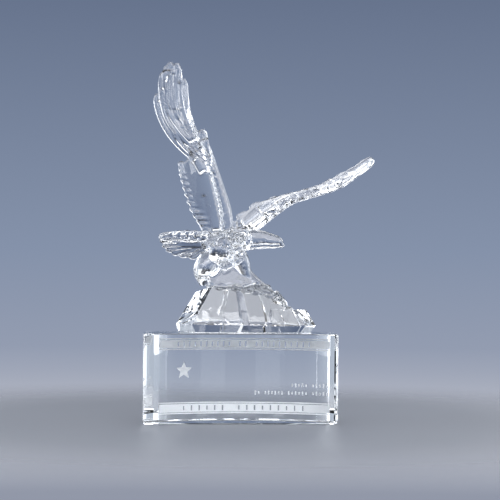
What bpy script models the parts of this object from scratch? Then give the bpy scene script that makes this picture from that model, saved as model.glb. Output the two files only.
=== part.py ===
"""Crystal eagle award: an eagle landing on a faceted rock, on a lens-backed crystal plinth.

Metres, +Z up. The plinth stands on z = 0 with its flat front face towards -Y, and the origin is
the middle of its underside. The eagle and its rock are one casting with ground and polished
facets round the rock. Places on the figure are given in thousandths of its height, measured from
the middle of the rock's foot, so the whole pose follows FIGURE_HEIGHT.
"""
import math

import bmesh
import bpy
from mathutils import Matrix, Vector, noise

# Plinth
PLINTH_WIDTH = 0.133
PLINTH_HEIGHT = 0.0615
PLINTH_END_DEPTH = 0.025
PLINTH_BACK_BULGE = 0.031
PLINTH_BEVEL = 0.0009
ARC_STEPS = 28

# Sandblasted bands and strokes on the back of the plinth
ENGRAVING_DEPTH = 0.0004
BAND_HEIGHT = 0.0056
BAND_LINE = 0.0008
BAND_LINE_GAP = 0.0005
BAND_MARGIN = 0.0065
BAND_LEFT_GAP = 0.0118
BAND_RIGHT_GAP = 0.0037
STROKE_WIDTH = 0.0011
STROKE_HEIGHT = 0.0036
UPPER_GROUPS = (10, 2, 10)
UPPER_STEP = 0.0040
UPPER_GROUP_GAP = 0.0035
LOWER_GROUPS = (6, 9)
LOWER_STEP = 0.0055
LOWER_GROUP_GAP = 0.0060
SMALL_STROKE_HEIGHT = 0.0026
SMALL_STROKE_STEP = 0.0023
SMALL_ROW_COUNTS = (22, 11)
SMALL_ROW_STEP = 0.0055
SMALL_ROW_RISE = 0.0190
ROW_RIGHT_GAP = 0.0050

# Eagle and rock
FIGURE_HEIGHT = 0.1877
FIGURE_SIDE_SHIFT = -0.0013
SEAT_GAP = 0.0003

# Numbers of feathers
FINGERS = 6
NEAR_SECONDARIES = 13
FAR_SECONDARIES = 9
TAIL_FEATHERS = 7
HACKLES = 8

# Rock, in thousandths of the figure's height and in degrees
FRONT_FOOT = 28
BACK_FOOT = 9
MIDDLE_SINK = 1.3
STEP_SINK = 3.5
STEP_TOP = 90
UNDERCUT = 38

# Fineness of the carving, in thousandths of the figure's height
GRAIN = 5.2
FACES_KEPT = 12500
BLADE_SIDES = 10
WING_STEPS = 24

UNIT = FIGURE_HEIGHT / 1000
PLINTH_DEPTH = PLINTH_END_DEPTH + PLINTH_BACK_BULGE
FRONT_Y = -PLINTH_DEPTH / 2
HALF_WIDTH = PLINTH_WIDTH / 2
BACK_RADIUS = (HALF_WIDTH ** 2 + PLINTH_BACK_BULGE ** 2) / (2 * PLINTH_BACK_BULGE)
BACK_CENTRE_Y = PLINTH_DEPTH / 2 - BACK_RADIUS


def clear_scene():
    """Remove whatever the file starts with."""
    for old in list(bpy.data.objects):
        bpy.data.objects.remove(old, do_unlink=True)


def new_collection(name):
    """Make a collection in the scene."""
    made = bpy.data.collections.new(name)
    bpy.context.scene.collection.children.link(made)
    return made


def crystal(name, tint, roughness):
    """Make a clear or frosted glass material."""
    made = bpy.data.materials.new(name)
    made.use_nodes = True
    shader = made.node_tree.nodes["Principled BSDF"]
    shader.inputs["Base Color"].default_value = (*tint, 1.0)
    shader.inputs["Roughness"].default_value = roughness
    shader.inputs["Metallic"].default_value = 0.0
    shader.inputs["IOR"].default_value = 1.52
    shader.inputs["Transmission Weight"].default_value = 1.0
    return made


def object_from(bm, name, home):
    """Turn a bmesh into an object in the given collection."""
    mesh = bpy.data.meshes.new(name)
    bm.normal_update()
    bm.to_mesh(mesh)
    bm.free()
    made = bpy.data.objects.new(name, mesh)
    home.objects.link(made)
    return made


def as_cutter(tool):
    """Show a cutting shape as wires and keep it out of renders."""
    tool.hide_render = True
    tool.display_type = "WIRE"
    return tool


def settled(thing):
    """Give an object the mesh that its modifiers make, and take the modifiers off."""
    graph = bpy.context.evaluated_depsgraph_get()
    mesh = bpy.data.meshes.new_from_object(thing.evaluated_get(graph))
    thing.modifiers.clear()
    thing.data = mesh
    return thing


def cut(target, tool):
    """Cut an object with another one, exactly."""
    step = target.modifiers.new("Cut", "BOOLEAN")
    step.operation = "DIFFERENCE"
    step.solver = "EXACT"
    step.object = tool
    return step


# Plinth

def back_point(angle, radius):
    """A point at an angle round the axis of the plinth's curved back."""
    return Vector((radius * math.sin(angle), BACK_CENTRE_Y + radius * math.cos(angle)))


def back_angle(x):
    """The angle round the curved back at which it is x to the side of the middle."""
    return math.asin(max(-1.0, min(1.0, x / BACK_RADIUS)))


def back_arc(start, end, radius, steps):
    """Points along the curved back from one angle to another."""
    return [back_point(start + (end - start) * i / steps, radius) for i in range(steps + 1)]


def upright(name, outline, low, high, home):
    """An upright block of a flat outline between two heights."""
    curve = bpy.data.curves.new(name, "CURVE")
    curve.dimensions = "2D"
    curve.fill_mode = "BOTH"
    curve.extrude = (high - low) / 2
    spline = curve.splines.new("POLY")
    spline.points.add(len(outline) - 1)
    for point, place in zip(spline.points, outline):
        point.co = (place[0], place[1], 0, 1)
    spline.use_cyclic_u = True
    drawn = bpy.data.objects.new(name, curve)
    home.objects.link(drawn)
    bpy.context.view_layer.update()
    graph = bpy.context.evaluated_depsgraph_get()
    mesh = bpy.data.meshes.new_from_object(drawn.evaluated_get(graph))
    bpy.data.objects.remove(drawn, do_unlink=True)
    bm = bmesh.new()
    bm.from_mesh(mesh)
    bmesh.ops.remove_doubles(bm, verts=bm.verts, dist=1e-6)
    bmesh.ops.translate(bm, verts=bm.verts, vec=(0, 0, (high + low) / 2))
    bmesh.ops.dissolve_limit(bm, angle_limit=math.radians(0.5), verts=bm.verts, edges=bm.edges)
    bmesh.ops.recalc_face_normals(bm, faces=bm.faces)
    return object_from(bm, name, home)


def block_on_back(name, x, z, width, height, reach, home):
    """A small box that stands through the curved back at a place on it."""
    bm = bmesh.new()
    bmesh.ops.create_cube(bm, size=1.0)
    angle = back_angle(x)
    place = back_point(angle, BACK_RADIUS)
    turn = Matrix.Rotation(-angle, 4, "Z")
    size = Matrix.Diagonal((width, reach, height, 1.0))
    bmesh.ops.transform(bm, verts=bm.verts, matrix=Matrix.Translation((*place, z)) @ turn @ size)
    return object_from(bm, name, home)


def band(name, low, high, tools):
    """A cutter for one curved band on the plinth's back."""
    start = back_angle(-HALF_WIDTH + BAND_LEFT_GAP)
    end = back_angle(HALF_WIDTH - BAND_RIGHT_GAP)
    inner = back_arc(start, end, BACK_RADIUS - ENGRAVING_DEPTH, ARC_STEPS)
    outer = back_arc(end, start, BACK_RADIUS + 3 * ENGRAVING_DEPTH, ARC_STEPS)
    return as_cutter(upright(name, inner + outer, low, high, tools))


def stroke_places(groups, step, gap):
    """Sideways places of strokes in groups, with a gap between the groups, along a band."""
    places = []
    x = 0.0
    for size in groups:
        for _ in range(size):
            places.append(x)
            x += step
        x += gap
    middle = (places[0] + places[-1] + BAND_RIGHT_GAP - BAND_LEFT_GAP) / 2
    return [place - middle for place in places]


def joined(name, pieces, home):
    """One object with the meshes of several that don't meet."""
    bm = bmesh.new()
    for piece in pieces:
        bm.from_mesh(piece.data)
        bpy.data.objects.remove(piece, do_unlink=True)
    return object_from(bm, name, home)


def engraved_band(name, middle, groups, step, gap, tools):
    """A band with raised strokes left standing in it and a fine line above and below."""
    field = band(name, middle - BAND_HEIGHT / 2, middle + BAND_HEIGHT / 2, tools)
    strokes = []
    for i, x in enumerate(stroke_places(groups, step, gap)):
        height = STROKE_HEIGHT * (1.0 if i % 3 else 0.8)
        strokes.append(block_on_back(f"{name}_stroke_{i}", x, middle, STROKE_WIDTH, height,
                                     10 * ENGRAVING_DEPTH, tools))
    left = as_cutter(joined(name + "_strokes", strokes, tools))
    cut(field, left)
    bpy.context.view_layer.update()
    settled(field)
    edge = BAND_HEIGHT / 2 + BAND_LINE_GAP
    above = band(name + "_line_above", middle + edge, middle + edge + BAND_LINE, tools)
    below = band(name + "_line_below", middle - edge - BAND_LINE, middle - edge, tools)
    return [field, above, below]


def small_rows(tools):
    """Two rows of small strokes at the right of the plinth's back."""
    strokes = []
    right = HALF_WIDTH - ROW_RIGHT_GAP
    for row, count in enumerate(SMALL_ROW_COUNTS):
        for i in range(count):
            if i % 7 == 5:
                continue
            x = right - i * SMALL_STROKE_STEP
            height = SMALL_STROKE_HEIGHT * (1.0 if i % 2 else 0.7)
            z = SMALL_ROW_RISE + row * SMALL_ROW_STEP
            strokes.append(block_on_back(f"small_{row}_{i}", x, z, STROKE_WIDTH * 0.8, height,
                                         2 * ENGRAVING_DEPTH, tools))
    return as_cutter(joined("small_strokes", strokes, tools))


def plinth(parts, tools, finish):
    """The clear block under the figure, flat in front and curved behind."""
    corners = [Vector((HALF_WIDTH, FRONT_Y)), Vector((-HALF_WIDTH, FRONT_Y))]
    arc = back_arc(back_angle(-HALF_WIDTH), back_angle(HALF_WIDTH), BACK_RADIUS, ARC_STEPS)
    block = upright("crystal_plinth", corners + arc, 0, PLINTH_HEIGHT, parts)
    block.data.materials.append(finish)
    edge = block.modifiers.new("Ground edges", "BEVEL")
    edge.width = PLINTH_BEVEL
    edge.segments = 1
    edge.limit_method = "ANGLE"
    edge.angle_limit = math.radians(30)
    top = PLINTH_HEIGHT - BAND_MARGIN - BAND_HEIGHT / 2 + BAND_LINE
    low = BAND_MARGIN + BAND_HEIGHT / 2 - BAND_LINE
    cutters = engraved_band("upper_band", top, UPPER_GROUPS, UPPER_STEP, UPPER_GROUP_GAP, tools)
    cutters += engraved_band("lower_band", low, LOWER_GROUPS, LOWER_STEP, LOWER_GROUP_GAP, tools)
    cutters.append(small_rows(tools))
    for tool in cutters:
        cut(block, tool)
    return block


# Figure: lofted forms

def spot(x, y, z):
    """A place on the figure from thousandths of its height."""
    return Vector((x, y, z))


def smooth_path(points, steps):
    """Places along a smooth curve through the given points."""
    ends = [points[0] * 2 - points[1]] + list(points) + [points[-1] * 2 - points[-2]]
    made = []
    spans = len(points) - 1
    for i in range(steps + 1):
        t = i / steps * spans
        k = min(int(t), spans - 1)
        f = t - k
        a, b, c, d = ends[k:k + 4]
        made.append(0.5 * ((2 * b) + (c - a) * f + (2 * a - 5 * b + 4 * c - d) * f * f
                           + (3 * b - a - 3 * c + d) * f ** 3))
    return made


def bent_path(root, bend, tip, steps):
    """Places along one arc-like bend from root to tip."""
    return [root * (1 - u) ** 2 + bend * 2 * u * (1 - u) + tip * u ** 2
            for u in (i / steps for i in range(steps + 1))]


def loft(bm, rings):
    """Close a skin over a row of rings with the same number of points."""
    loops = [[bm.verts.new(point) for point in ring] for ring in rings]
    count = len(rings[0])
    for one, two in zip(loops, loops[1:]):
        for i in range(count):
            j = (i + 1) % count
            bm.faces.new((one[i], one[j], two[j], two[i]))
    bm.faces.new(list(reversed(loops[0])))
    bm.faces.new(loops[-1])


def feather_outline(u, root):
    """Share of the full width at a share of the length: narrow root, rounded tip."""
    swell = root + (1 - root) * math.sin(min(u / 0.4, 1.0) * math.pi / 2)
    tip_start = 0.88
    if u <= tip_start:
        return swell
    return swell * math.sqrt(max(0.12, 1 - ((u - tip_start) / (1 - tip_start)) ** 2))


def blade(bm, spine, width, thickness, face, root=0.6, tilt=0.0):
    """One feather along a spine: a lens-shaped blade with a raised shaft, facing one way."""
    last = len(spine) - 1
    rings = []
    for i, centre in enumerate(spine):
        ahead = (spine[min(i + 1, last)] - spine[max(i - 1, 0)]).normalized()
        across = ahead.cross(face).normalized()
        across = Matrix.Rotation(tilt, 3, ahead) @ across
        lift = across.cross(ahead).normalized()
        outline = feather_outline(i / last, root)
        half = width / 2 * outline
        deep = thickness / 2 * (1 - 0.15 * i / last) * (0.6 + 0.4 * outline)
        ring = []
        for k in range(BLADE_SIDES):
            angle = 2 * math.pi * k / BLADE_SIDES
            shaft = 1 + 0.25 * math.exp(-(math.cos(angle) / 0.3) ** 2)
            ring.append(centre + across * half * math.cos(angle)
                        + lift * deep * shaft * math.sin(angle))
        rings.append(ring)
    loft(bm, rings)


def limb(bm, spine, radii, flat=1.0, face=Vector((0, -1, 0)), sides=14):
    """A rounded form along a spine, with a radius at each point and its own flatness."""
    last = len(spine) - 1
    rings = []
    for i, centre in enumerate(spine):
        ahead = (spine[min(i + 1, last)] - spine[max(i - 1, 0)]).normalized()
        across = ahead.cross(face).normalized()
        lift = across.cross(ahead).normalized()
        share = i / last * (len(radii) - 1)
        k = min(int(share), len(radii) - 2)
        radius = radii[k] + (radii[k + 1] - radii[k]) * (share - k)
        rings.append([centre + across * radius * math.cos(a) + lift * radius * flat * math.sin(a)
                      for a in (2 * math.pi * n / sides for n in range(sides))])
    loft(bm, rings)


def ball(bm, centre, radii):
    """An egg-shaped form."""
    matrix = Matrix.Translation(centre) @ Matrix.Diagonal((*radii, 1.0))
    bmesh.ops.create_uvsphere(bm, u_segments=20, v_segments=12, radius=1.0, matrix=matrix)


# Figure: wings

def panel(bm, arm, edge, face, thickness, sides=16):
    """The smooth web of the wing between the bone and the feather tips."""
    rings = []
    last = len(arm) - 1
    for i in range(2, last - 1):
        goal = edge[i].lerp(arm[i], 0.12)
        centre = arm[i].lerp(goal, 0.5)
        across = (goal - arm[i]) / 2
        ring = []
        for k in range(sides):
            angle = 2 * math.pi * k / sides
            deep = thickness * (0.5 - 0.2 * math.cos(angle))
            ring.append(centre + across * math.cos(angle) + face * deep * math.sin(angle))
        rings.append(ring)
    loft(bm, rings)


def wing(bm, lead, trail, hand, tips, face, layout):
    """A wing: bone along the leading edge, smooth web, secondaries and long fingers."""
    arm = smooth_path(lead, WING_STEPS)
    edge = smooth_path(trail, WING_STEPS)
    limb(bm, arm, layout["bone"], flat=1.35, face=face)
    panel(bm, arm, edge, face, layout["web"])
    count = layout["secondaries"]
    for i in range(count):
        s = i / (count - 1)
        root = arm[round((0.02 + 0.5 * s) * WING_STEPS)]
        tip = edge[round(s * WING_STEPS)]
        bend = root.lerp(tip, 0.5) + Vector((0, 0, layout["droop"]))
        blade(bm, bent_path(root, bend, tip, 10), layout["secondary_width"],
              layout["secondary_thickness"], face, root=0.8, tilt=0.1)
    for i in range(FINGERS):
        s = i / (FINGERS - 1)
        root = hand[0].lerp(hand[1], s)
        bend = hand[2].lerp(hand[3], s)
        blade(bm, bent_path(root, bend, tips(s), 14), layout["finger_width"] * (1 - 0.2 * s),
              layout["finger_thickness"], face, root=0.75, tilt=0.15)


def near_tips(s):
    """Tips of the raised wing's fingers: they lie on an arch."""
    x = -207 - 91 * s
    fall = 0.06 if x > -238 else 0.033
    return spot(x, -18 + 54 * s, 995 - fall * (x + 238) ** 2)


def raised_wing(bm):
    """The eagle's right wing, lifted high, with its smooth underside to the front."""
    face = Vector((-0.6, -0.8, 0.05)).normalized()
    lead = [spot(-40, -10, 335), spot(-46, -36, 440), spot(-72, -46, 530), spot(-98, -48, 612),
            spot(-116, -44, 668), spot(-128, -36, 706)]
    trail = [spot(-112, 48, 366), spot(-140, 56, 400), spot(-172, 60, 450), spot(-195, 62, 516),
             spot(-211, 62, 576), spot(-218, 60, 624)]
    hand = [spot(-156, -42, 706), spot(-150, 14, 630), spot(-218, -40, 790), spot(-300, 26, 752)]
    wing(bm, lead, trail, hand, near_tips, face, {
        "bone": (24, 21, 18, 15, 14, 10), "web": 26, "secondaries": NEAR_SECONDARIES,
        "droop": -14, "secondary_width": 32, "secondary_thickness": 14,
        "finger_width": 46, "finger_thickness": 26})
    palm = [spot(-118, -40, 596), spot(-142, -29, 640), spot(-166, -18, 684)]
    limb(bm, smooth_path(palm, 6), (34, 34), flat=0.5, face=face)
    blade(bm, bent_path(spot(-106, -52, 590), spot(-122, -58, 668), spot(-137, -46, 742), 10),
          36, 30, face, root=0.8)


def far_tips(s):
    """Tips of the spread wing's fingers, of which the first ones end close together."""
    return spot(544 - 150 * s * s, 322 + 8 * s, 656 - 80 * s * s)


def spread_wing(bm):
    """The eagle's left wing, spread to the side and away."""
    lead = [spot(-5, 20, 340), spot(62, 48, 386), spot(134, 92, 438), spot(212, 140, 490),
            spot(270, 170, 511), spot(322, 197, 524), spot(372, 226, 541), spot(424, 258, 562),
            spot(474, 288, 596)]
    trail = [spot(-4, 176, 408), spot(34, 192, 446), spot(88, 216, 484), spot(161, 250, 508),
             spot(230, 282, 524), spot(290, 298, 540), spot(342, 312, 552), spot(392, 318, 568),
             spot(440, 322, 590)]
    hand = [spot(400, 236, 548), spot(330, 226, 534), spot(482, 284, 594), spot(380, 300, 568)]
    span = lead[4] - lead[1]
    chord = trail[3] - lead[3]
    wing(bm, lead, trail, hand, far_tips, chord.cross(span).normalized(), {
        "bone": (26, 22, 18, 17, 16, 16, 16, 16, 15), "web": 20, "secondaries": FAR_SECONDARIES,
        "droop": 4, "secondary_width": 60, "secondary_thickness": 17,
        "finger_width": 40, "finger_thickness": 36})


# Figure: body

def tail(bm):
    """Feathers fanned behind the body, the far side lower, under a thick slab of coverts."""
    root = spot(-92, 34, 320)
    up = Vector((0.3, -0.25, 0.92))
    for i in range(TAIL_FEATHERS):
        s = i / (TAIL_FEATHERS - 1)
        tip = spot(-282 + 120 * s * s, 118 + 104 * s, 355 - 150 * s + 66 * s * s)
        bend = root.lerp(tip, 0.5) + Vector((0, 0, 5))
        blade(bm, bent_path(root, bend, tip, 9), 44, 25, up, root=0.55, tilt=0.2)
    blade(bm, bent_path(spot(-100, 30, 348), spot(-190, 84, 366), spot(-280, 132, 348), 12),
          74, 40, up, root=0.8)


def body(bm):
    """Torso, neck and shoulders, and the point of the chest."""
    limb(bm, smooth_path([spot(-122, 48, 318), spot(-90, 26, 318), spot(-52, 2, 312),
                          spot(-18, -14, 316), spot(4, -24, 326)], 12),
         (16, 40, 58, 60, 54, 42), flat=0.74)
    limb(bm, smooth_path([spot(-40, -20, 330), spot(-62, -30, 290), spot(-70, -40, 258),
                          spot(-70, -46, 236)], 8), (50, 44, 24, 8), flat=0.7)


def chest_feathers(bm):
    """Long hackles in two rows that stream from the cheek and neck to the point of the chest."""
    face = Vector((0.1, -1, 0.1))
    for i in range(HACKLES):
        s = i / (HACKLES - 1)
        bulge = 13 * math.sin(math.pi * s)
        start = spot(-106 + 124 * s, -52 - bulge, 324 - 54 * s)
        point = spot(-98 + 34 * s, -60 - bulge * 0.6, 268 - 38 * s)
        bend = start.lerp(point, 0.5) + Vector((4, -14, 6 - 14 * s))
        blade(bm, bent_path(start, bend, point, 8), 21, 18, face, root=0.8)
    for i in range(HACKLES - 2):
        s = i / (HACKLES - 3)
        start = spot(-88 + 106 * s, -66, 332 - 40 * s)
        point = spot(-86 + 54 * s, -75, 292 - 22 * s)
        bend = start.lerp(point, 0.5) + Vector((2, -10, 4))
        blade(bm, bent_path(start, bend, point, 7), 19, 15, face, root=0.8)


def head(bm):
    """Head in profile with a heavy straight beak, brow ridges, eyes and nostrils."""
    limb(bm, smooth_path([spot(-62, -14, 318), spot(-34, -26, 334), spot(4, -36, 338),
                          spot(44, -42, 340)], 10), (34, 46, 46, 42, 36), flat=0.86)
    limb(bm, smooth_path([spot(10, -38, 338), spot(50, -43, 341), spot(86, -46, 340),
                          spot(118, -49, 336), spot(146, -51, 331), spot(164, -53, 325)], 14),
         (40, 37, 30, 22, 16, 5), flat=0.62)
    blade(bm, bent_path(spot(132, -51, 328), spot(158, -53, 330), spot(161, -53, 313), 6),
          14, 14, Vector((0, -1, 0)))
    for side in (-1, 1):
        across = Vector((0.18, 1, 0)) * side
        brow = spot(0, -36, 352)
        blade(bm, bent_path(brow + Vector((-62, 0, 0)) + across * 34,
                            brow + Vector((-12, 0, 22)) + across * 40,
                            brow + Vector((36, 0, 0)) + across * 28, 8),
              18, 14, Vector((0, 0.2, 1)))
        ball(bm, spot(-12, -36, 325) + across * 37, (10, 8, 9))


def leg(bm, hip, knee, ankle, radii, aim):
    """A feathered thigh, a short shank and a foot with four talons."""
    limb(bm, smooth_path([hip, hip.lerp(knee, 0.5), knee, ankle], 10), radii, flat=0.92)
    for angle in (-38, 0, 38, 180):
        way = Matrix.Rotation(math.radians(angle), 3, "Z") @ aim
        reach = 34 if angle == 180 else 46
        limb(bm, bent_path(ankle, ankle + way * reach * 0.6 + Vector((0, 0, 10)),
                           ankle + way * reach + Vector((0, 0, -16)), 6), (10, 9, 8, 4), sides=10)


def legs(bm):
    """Both legs, with the clear web that fills the arch between them."""
    aim = Vector((0.78, -0.62, 0)).normalized()
    leg(bm, spot(-84, -8, 290), spot(-126, -30, 214), spot(-116, -40, 160),
        (34, 44, 47, 42, 26, 16), aim)
    leg(bm, spot(-2, -8, 290), spot(36, 8, 214), spot(94, 18, 166), (34, 34, 28, 21, 17), aim)
    limb(bm, smooth_path([spot(-40, 10, 270), spot(-34, 8, 200), spot(-18, 4, 150)], 6),
         (50, 78, 108), flat=0.3)


# Figure: rock

def rough_rock(bm):
    """The cast lump under the eagle before it is ground."""
    ball(bm, spot(-30, 0, 18), (262, 165, 146))
    ball(bm, spot(70, 8, 60), (120, 95, 112))
    ball(bm, spot(-96, -14, 84), (84, 78, 76))
    ball(bm, spot(225, 0, 20), (150, 150, 80))
    ball(bm, spot(150, -6, 96), (44, 50, 62))


def polished_form(name, facets, sink, top, tools):
    """A block bounded by flat facets: (bearing, distance, lean) with an undercut below each."""
    bm = bmesh.new()
    bmesh.ops.create_cube(bm, size=1200)
    planes = [(Vector((0, 0, 0)), Vector((0, 0, -1))), (spot(0, 0, top), Vector((0.03, 0, 1)))]
    for bearing, distance, lean in facets:
        way = Vector((math.sin(math.radians(bearing)), -math.cos(math.radians(bearing)), 0))
        foot = (FRONT_FOOT if way.y < 0.3 else BACK_FOOT) - sink
        edge = way * distance + Vector((0, 0, foot))
        for slope in (lean, -UNDERCUT):
            rise = Vector((0, 0, math.sin(math.radians(slope))))
            planes.append((edge, way * math.cos(math.radians(slope)) + rise))
    for place, outward in planes:
        whole = list(bm.verts) + list(bm.edges) + list(bm.faces)
        bmesh.ops.bisect_plane(bm, geom=whole, plane_co=place, plane_no=outward, clear_outer=True)
        rim = [edge for edge in bm.edges if edge.is_boundary]
        bmesh.ops.holes_fill(bm, edges=rim)
        bmesh.ops.remove_doubles(bm, verts=bm.verts, dist=0.4)
    bmesh.ops.dissolve_limit(bm, angle_limit=math.radians(0.3), verts=bm.verts, edges=bm.edges)
    bmesh.ops.recalc_face_normals(bm, faces=bm.faces)
    return as_cutter(object_from(bm, name, tools))


def grinding_collar(tools):
    """Everything round and under the rock that grinding takes away."""
    main = polished_form("rock_facets", (
        (-5, 116, 21), (-17, 124, 22), (-62, 186, 31), (-125, 204, 24), (-168, 118, 20),
        (180, 112, 18), (135, 150, 20), (62, 60, 16)), 0, 190, tools)
    middle = polished_form("rock_middle", (
        (9, 116, 20), (-38, 62, 8), (-100, 60, 12), (172, 118, 20), (120, 190, 26),
        (78, 262, 41)), MIDDLE_SINK, 190, tools)
    step = polished_form("rock_step", (
        (16, 144, 18), (52, 232, 28), (80, 290, 32), (110, 286, 26), (160, 143, 20),
        (-90, -120, 0)), STEP_SINK, STEP_TOP, tools)
    bm = bmesh.new()
    size = Matrix.Diagonal((900, 600, 320, 1))
    bmesh.ops.create_cube(bm, size=1.0, matrix=Matrix.Translation((0, 0, 10)) @ size)
    collar = as_cutter(object_from(bm, "grinding_collar", tools))
    for form in (main, middle, step):
        cut(collar, form)
    bpy.context.view_layer.update()
    return settled(collar)


def keep_main_body(bm):
    """Drop specks and closed bubbles that the joining leaves apart from the main skin."""
    left = set(bm.verts)
    shells = []
    while left:
        stack = [left.pop()]
        shell = set(stack)
        while stack:
            for link in stack.pop().link_edges:
                for other in link.verts:
                    if other in left:
                        left.remove(other)
                        shell.add(other)
                        stack.append(other)
        shells.append(shell)
    shells.sort(key=len)
    for shell in shells[:-1]:
        bmesh.ops.delete(bm, geom=list(shell), context="VERTS")


def pebble(bm):
    """Roughen the cast top of the rock."""
    for vert in bm.verts:
        share = min(1.0, max(0.0, (182 - vert.co.z) / 30))
        if share > 0:
            bump = noise.noise(vert.co / 24) * 7 + noise.noise(vert.co / 11) * 3
            vert.co += vert.normal * bump * share


def fused(sketch):
    """Melt the lofted forms into one skin, soften it and thin out its faces."""
    melt = sketch.modifiers.new("Fuse", "REMESH")
    melt.mode = "VOXEL"
    melt.voxel_size = GRAIN
    melt.use_smooth_shade = True
    soften = sketch.modifiers.new("Soften", "SMOOTH")
    soften.factor = 0.5
    soften.iterations = 2
    bpy.context.view_layer.update()
    settled(sketch)
    bm = bmesh.new()
    bm.from_mesh(sketch.data)
    keep_main_body(bm)
    bm.normal_update()
    pebble(bm)
    bmesh.ops.triangulate(bm, faces=bm.faces)
    count = len(bm.faces)
    bm.to_mesh(sketch.data)
    bm.free()
    thin = sketch.modifiers.new("Thin out", "DECIMATE")
    thin.ratio = FACES_KEPT / count
    bpy.context.view_layer.update()
    return settled(sketch)


def scaled_to_size(thing):
    """Bring a form drawn in thousandths of the figure's height to its real size and place."""
    foot = Matrix.Translation((FIGURE_SIDE_SHIFT, 0, PLINTH_HEIGHT + SEAT_GAP))
    matrix = foot @ Matrix.Scale(UNIT, 4)
    thing.data.transform(matrix)
    thing.data.update()
    return thing


def eagle(parts, tools, finish):
    """The eagle and its rock: one casting, ground flat round the rock."""
    bm = bmesh.new()
    rough_rock(bm)
    body(bm)
    chest_feathers(bm)
    head(bm)
    legs(bm)
    tail(bm)
    raised_wing(bm)
    spread_wing(bm)
    bmesh.ops.recalc_face_normals(bm, faces=bm.faces)
    figure = object_from(bm, "crystal_eagle", parts)
    fused(figure)
    collar = grinding_collar(tools)
    scaled_to_size(figure)
    scaled_to_size(collar)
    figure.data.materials.clear()
    figure.data.materials.append(finish)
    cut(figure, collar)
    return figure


def main():
    """Build the award."""
    clear_scene()
    parts = new_collection("crystal_eagle_award")
    tools = new_collection("cutters")
    clear = crystal("Optical crystal", (0.93, 0.95, 0.98), 0.02)
    cast = crystal("Cast crystal", (0.95, 0.96, 0.98), 0.03)
    plinth(parts, tools, clear)
    eagle(parts, tools, cast)


main()
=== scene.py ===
"""Crystal eagle award: a clear cast eagle on a faceted rock, on a lens-backed crystal block.

Metres, +Z up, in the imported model's frame. The figure is drawn in thousandths of its own height
("figure units"), measured from the middle of the rock's foot, melted into one skin, ground flat
round the rock and then brought to its real size.
"""

import logging
import math
from collections.abc import Callable, Iterable, Sequence
from dataclasses import dataclass, field
from enum import Enum

import bmesh
import bpy
import numpy as np
from mathutils import Matrix, Vector, noise


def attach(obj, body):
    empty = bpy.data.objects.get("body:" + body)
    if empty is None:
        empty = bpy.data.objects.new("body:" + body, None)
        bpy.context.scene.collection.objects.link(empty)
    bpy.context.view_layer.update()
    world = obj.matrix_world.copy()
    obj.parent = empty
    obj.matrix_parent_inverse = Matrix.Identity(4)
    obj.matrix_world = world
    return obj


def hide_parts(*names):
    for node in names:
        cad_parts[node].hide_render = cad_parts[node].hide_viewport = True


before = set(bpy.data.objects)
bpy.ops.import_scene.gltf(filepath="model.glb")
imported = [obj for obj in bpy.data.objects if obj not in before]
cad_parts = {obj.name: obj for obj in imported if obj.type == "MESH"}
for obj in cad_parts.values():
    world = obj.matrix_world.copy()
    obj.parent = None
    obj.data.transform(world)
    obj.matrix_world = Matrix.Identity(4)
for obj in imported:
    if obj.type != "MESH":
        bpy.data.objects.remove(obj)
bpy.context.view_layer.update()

log = logging.getLogger("crystal_award")

MM = 0.001


# Shared helpers


def linear(code: str) -> tuple[float, float, float, float]:
    """Turn an sRGB hex colour into the linear numbers that shaders take.

    Args:
        code: six hex digits, such as "8FA0B4".

    Returns:
        Linear red, green, blue and an alpha of 1.
    """
    channels = [int(code[i:i + 2], 16) / 255 for i in (0, 2, 4)]
    made = [c / 12.92 if c <= 0.04045 else ((c + 0.055) / 1.055) ** 2.4 for c in channels]
    return (made[0], made[1], made[2], 1.0)


def add_node(
    tree: bpy.types.NodeTree,
    kind: str,
    settings: dict[str, object] | None = None,
    values: dict[str, object] | None = None,
    links: dict[str, bpy.types.NodeSocket] | None = None,
) -> bpy.types.Node:
    """Add a node with its settings, its plain values and what feeds it.

    Args:
        tree: the node tree to add to.
        kind: the node's type name.
        settings: attributes of the node itself.
        values: plain values by input name.
        links: output sockets by the name of the input that they feed.

    Returns:
        The new node.
    """
    node = tree.nodes.new(kind)
    for name, value in (settings or {}).items():
        setattr(node, name, value)
    for name, value in (values or {}).items():
        node.inputs[name].default_value = value
    for name, socket in (links or {}).items():
        tree.links.new(socket, node.inputs[name])
    return node


def smooth_share(
    tree: bpy.types.NodeTree, low: float, high: float, socket: bpy.types.NodeSocket
) -> bpy.types.NodeSocket:
    """A share that rises smoothly from 0 to 1 while a value crosses a span.

    Args:
        tree: the node tree to add to.
        low: where the span starts.
        high: where it ends.
        socket: the value.

    Returns:
        The socket with the share.
    """
    node = add_node(tree, "ShaderNodeMapRange", {"interpolation_type": "SMOOTHSTEP"},
                    {"From Min": low, "From Max": high}, {"Value": socket})
    return node.outputs["Result"]


def mesh_object(bm: bmesh.types.BMesh, name: str) -> bpy.types.Object:
    """Turn a bmesh into an object of the scene.

    Args:
        bm: the mesh, which is freed.
        name: the object's name.

    Returns:
        The new object.
    """
    mesh = bpy.data.meshes.new(name)
    bm.normal_update()
    bm.to_mesh(mesh)
    bm.free()
    made = bpy.data.objects.new(name, mesh)
    bpy.context.scene.collection.objects.link(made)
    return made


def settled(thing: bpy.types.Object) -> bpy.types.Object:
    """Give an object the mesh that its modifiers make, and take the modifiers off.

    Args:
        thing: the object with modifiers.

    Returns:
        The same object.
    """
    bpy.context.view_layer.update()
    graph = bpy.context.evaluated_depsgraph_get()
    mesh = bpy.data.meshes.new_from_object(thing.evaluated_get(graph))
    thing.modifiers.clear()
    thing.data = mesh
    return thing


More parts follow.
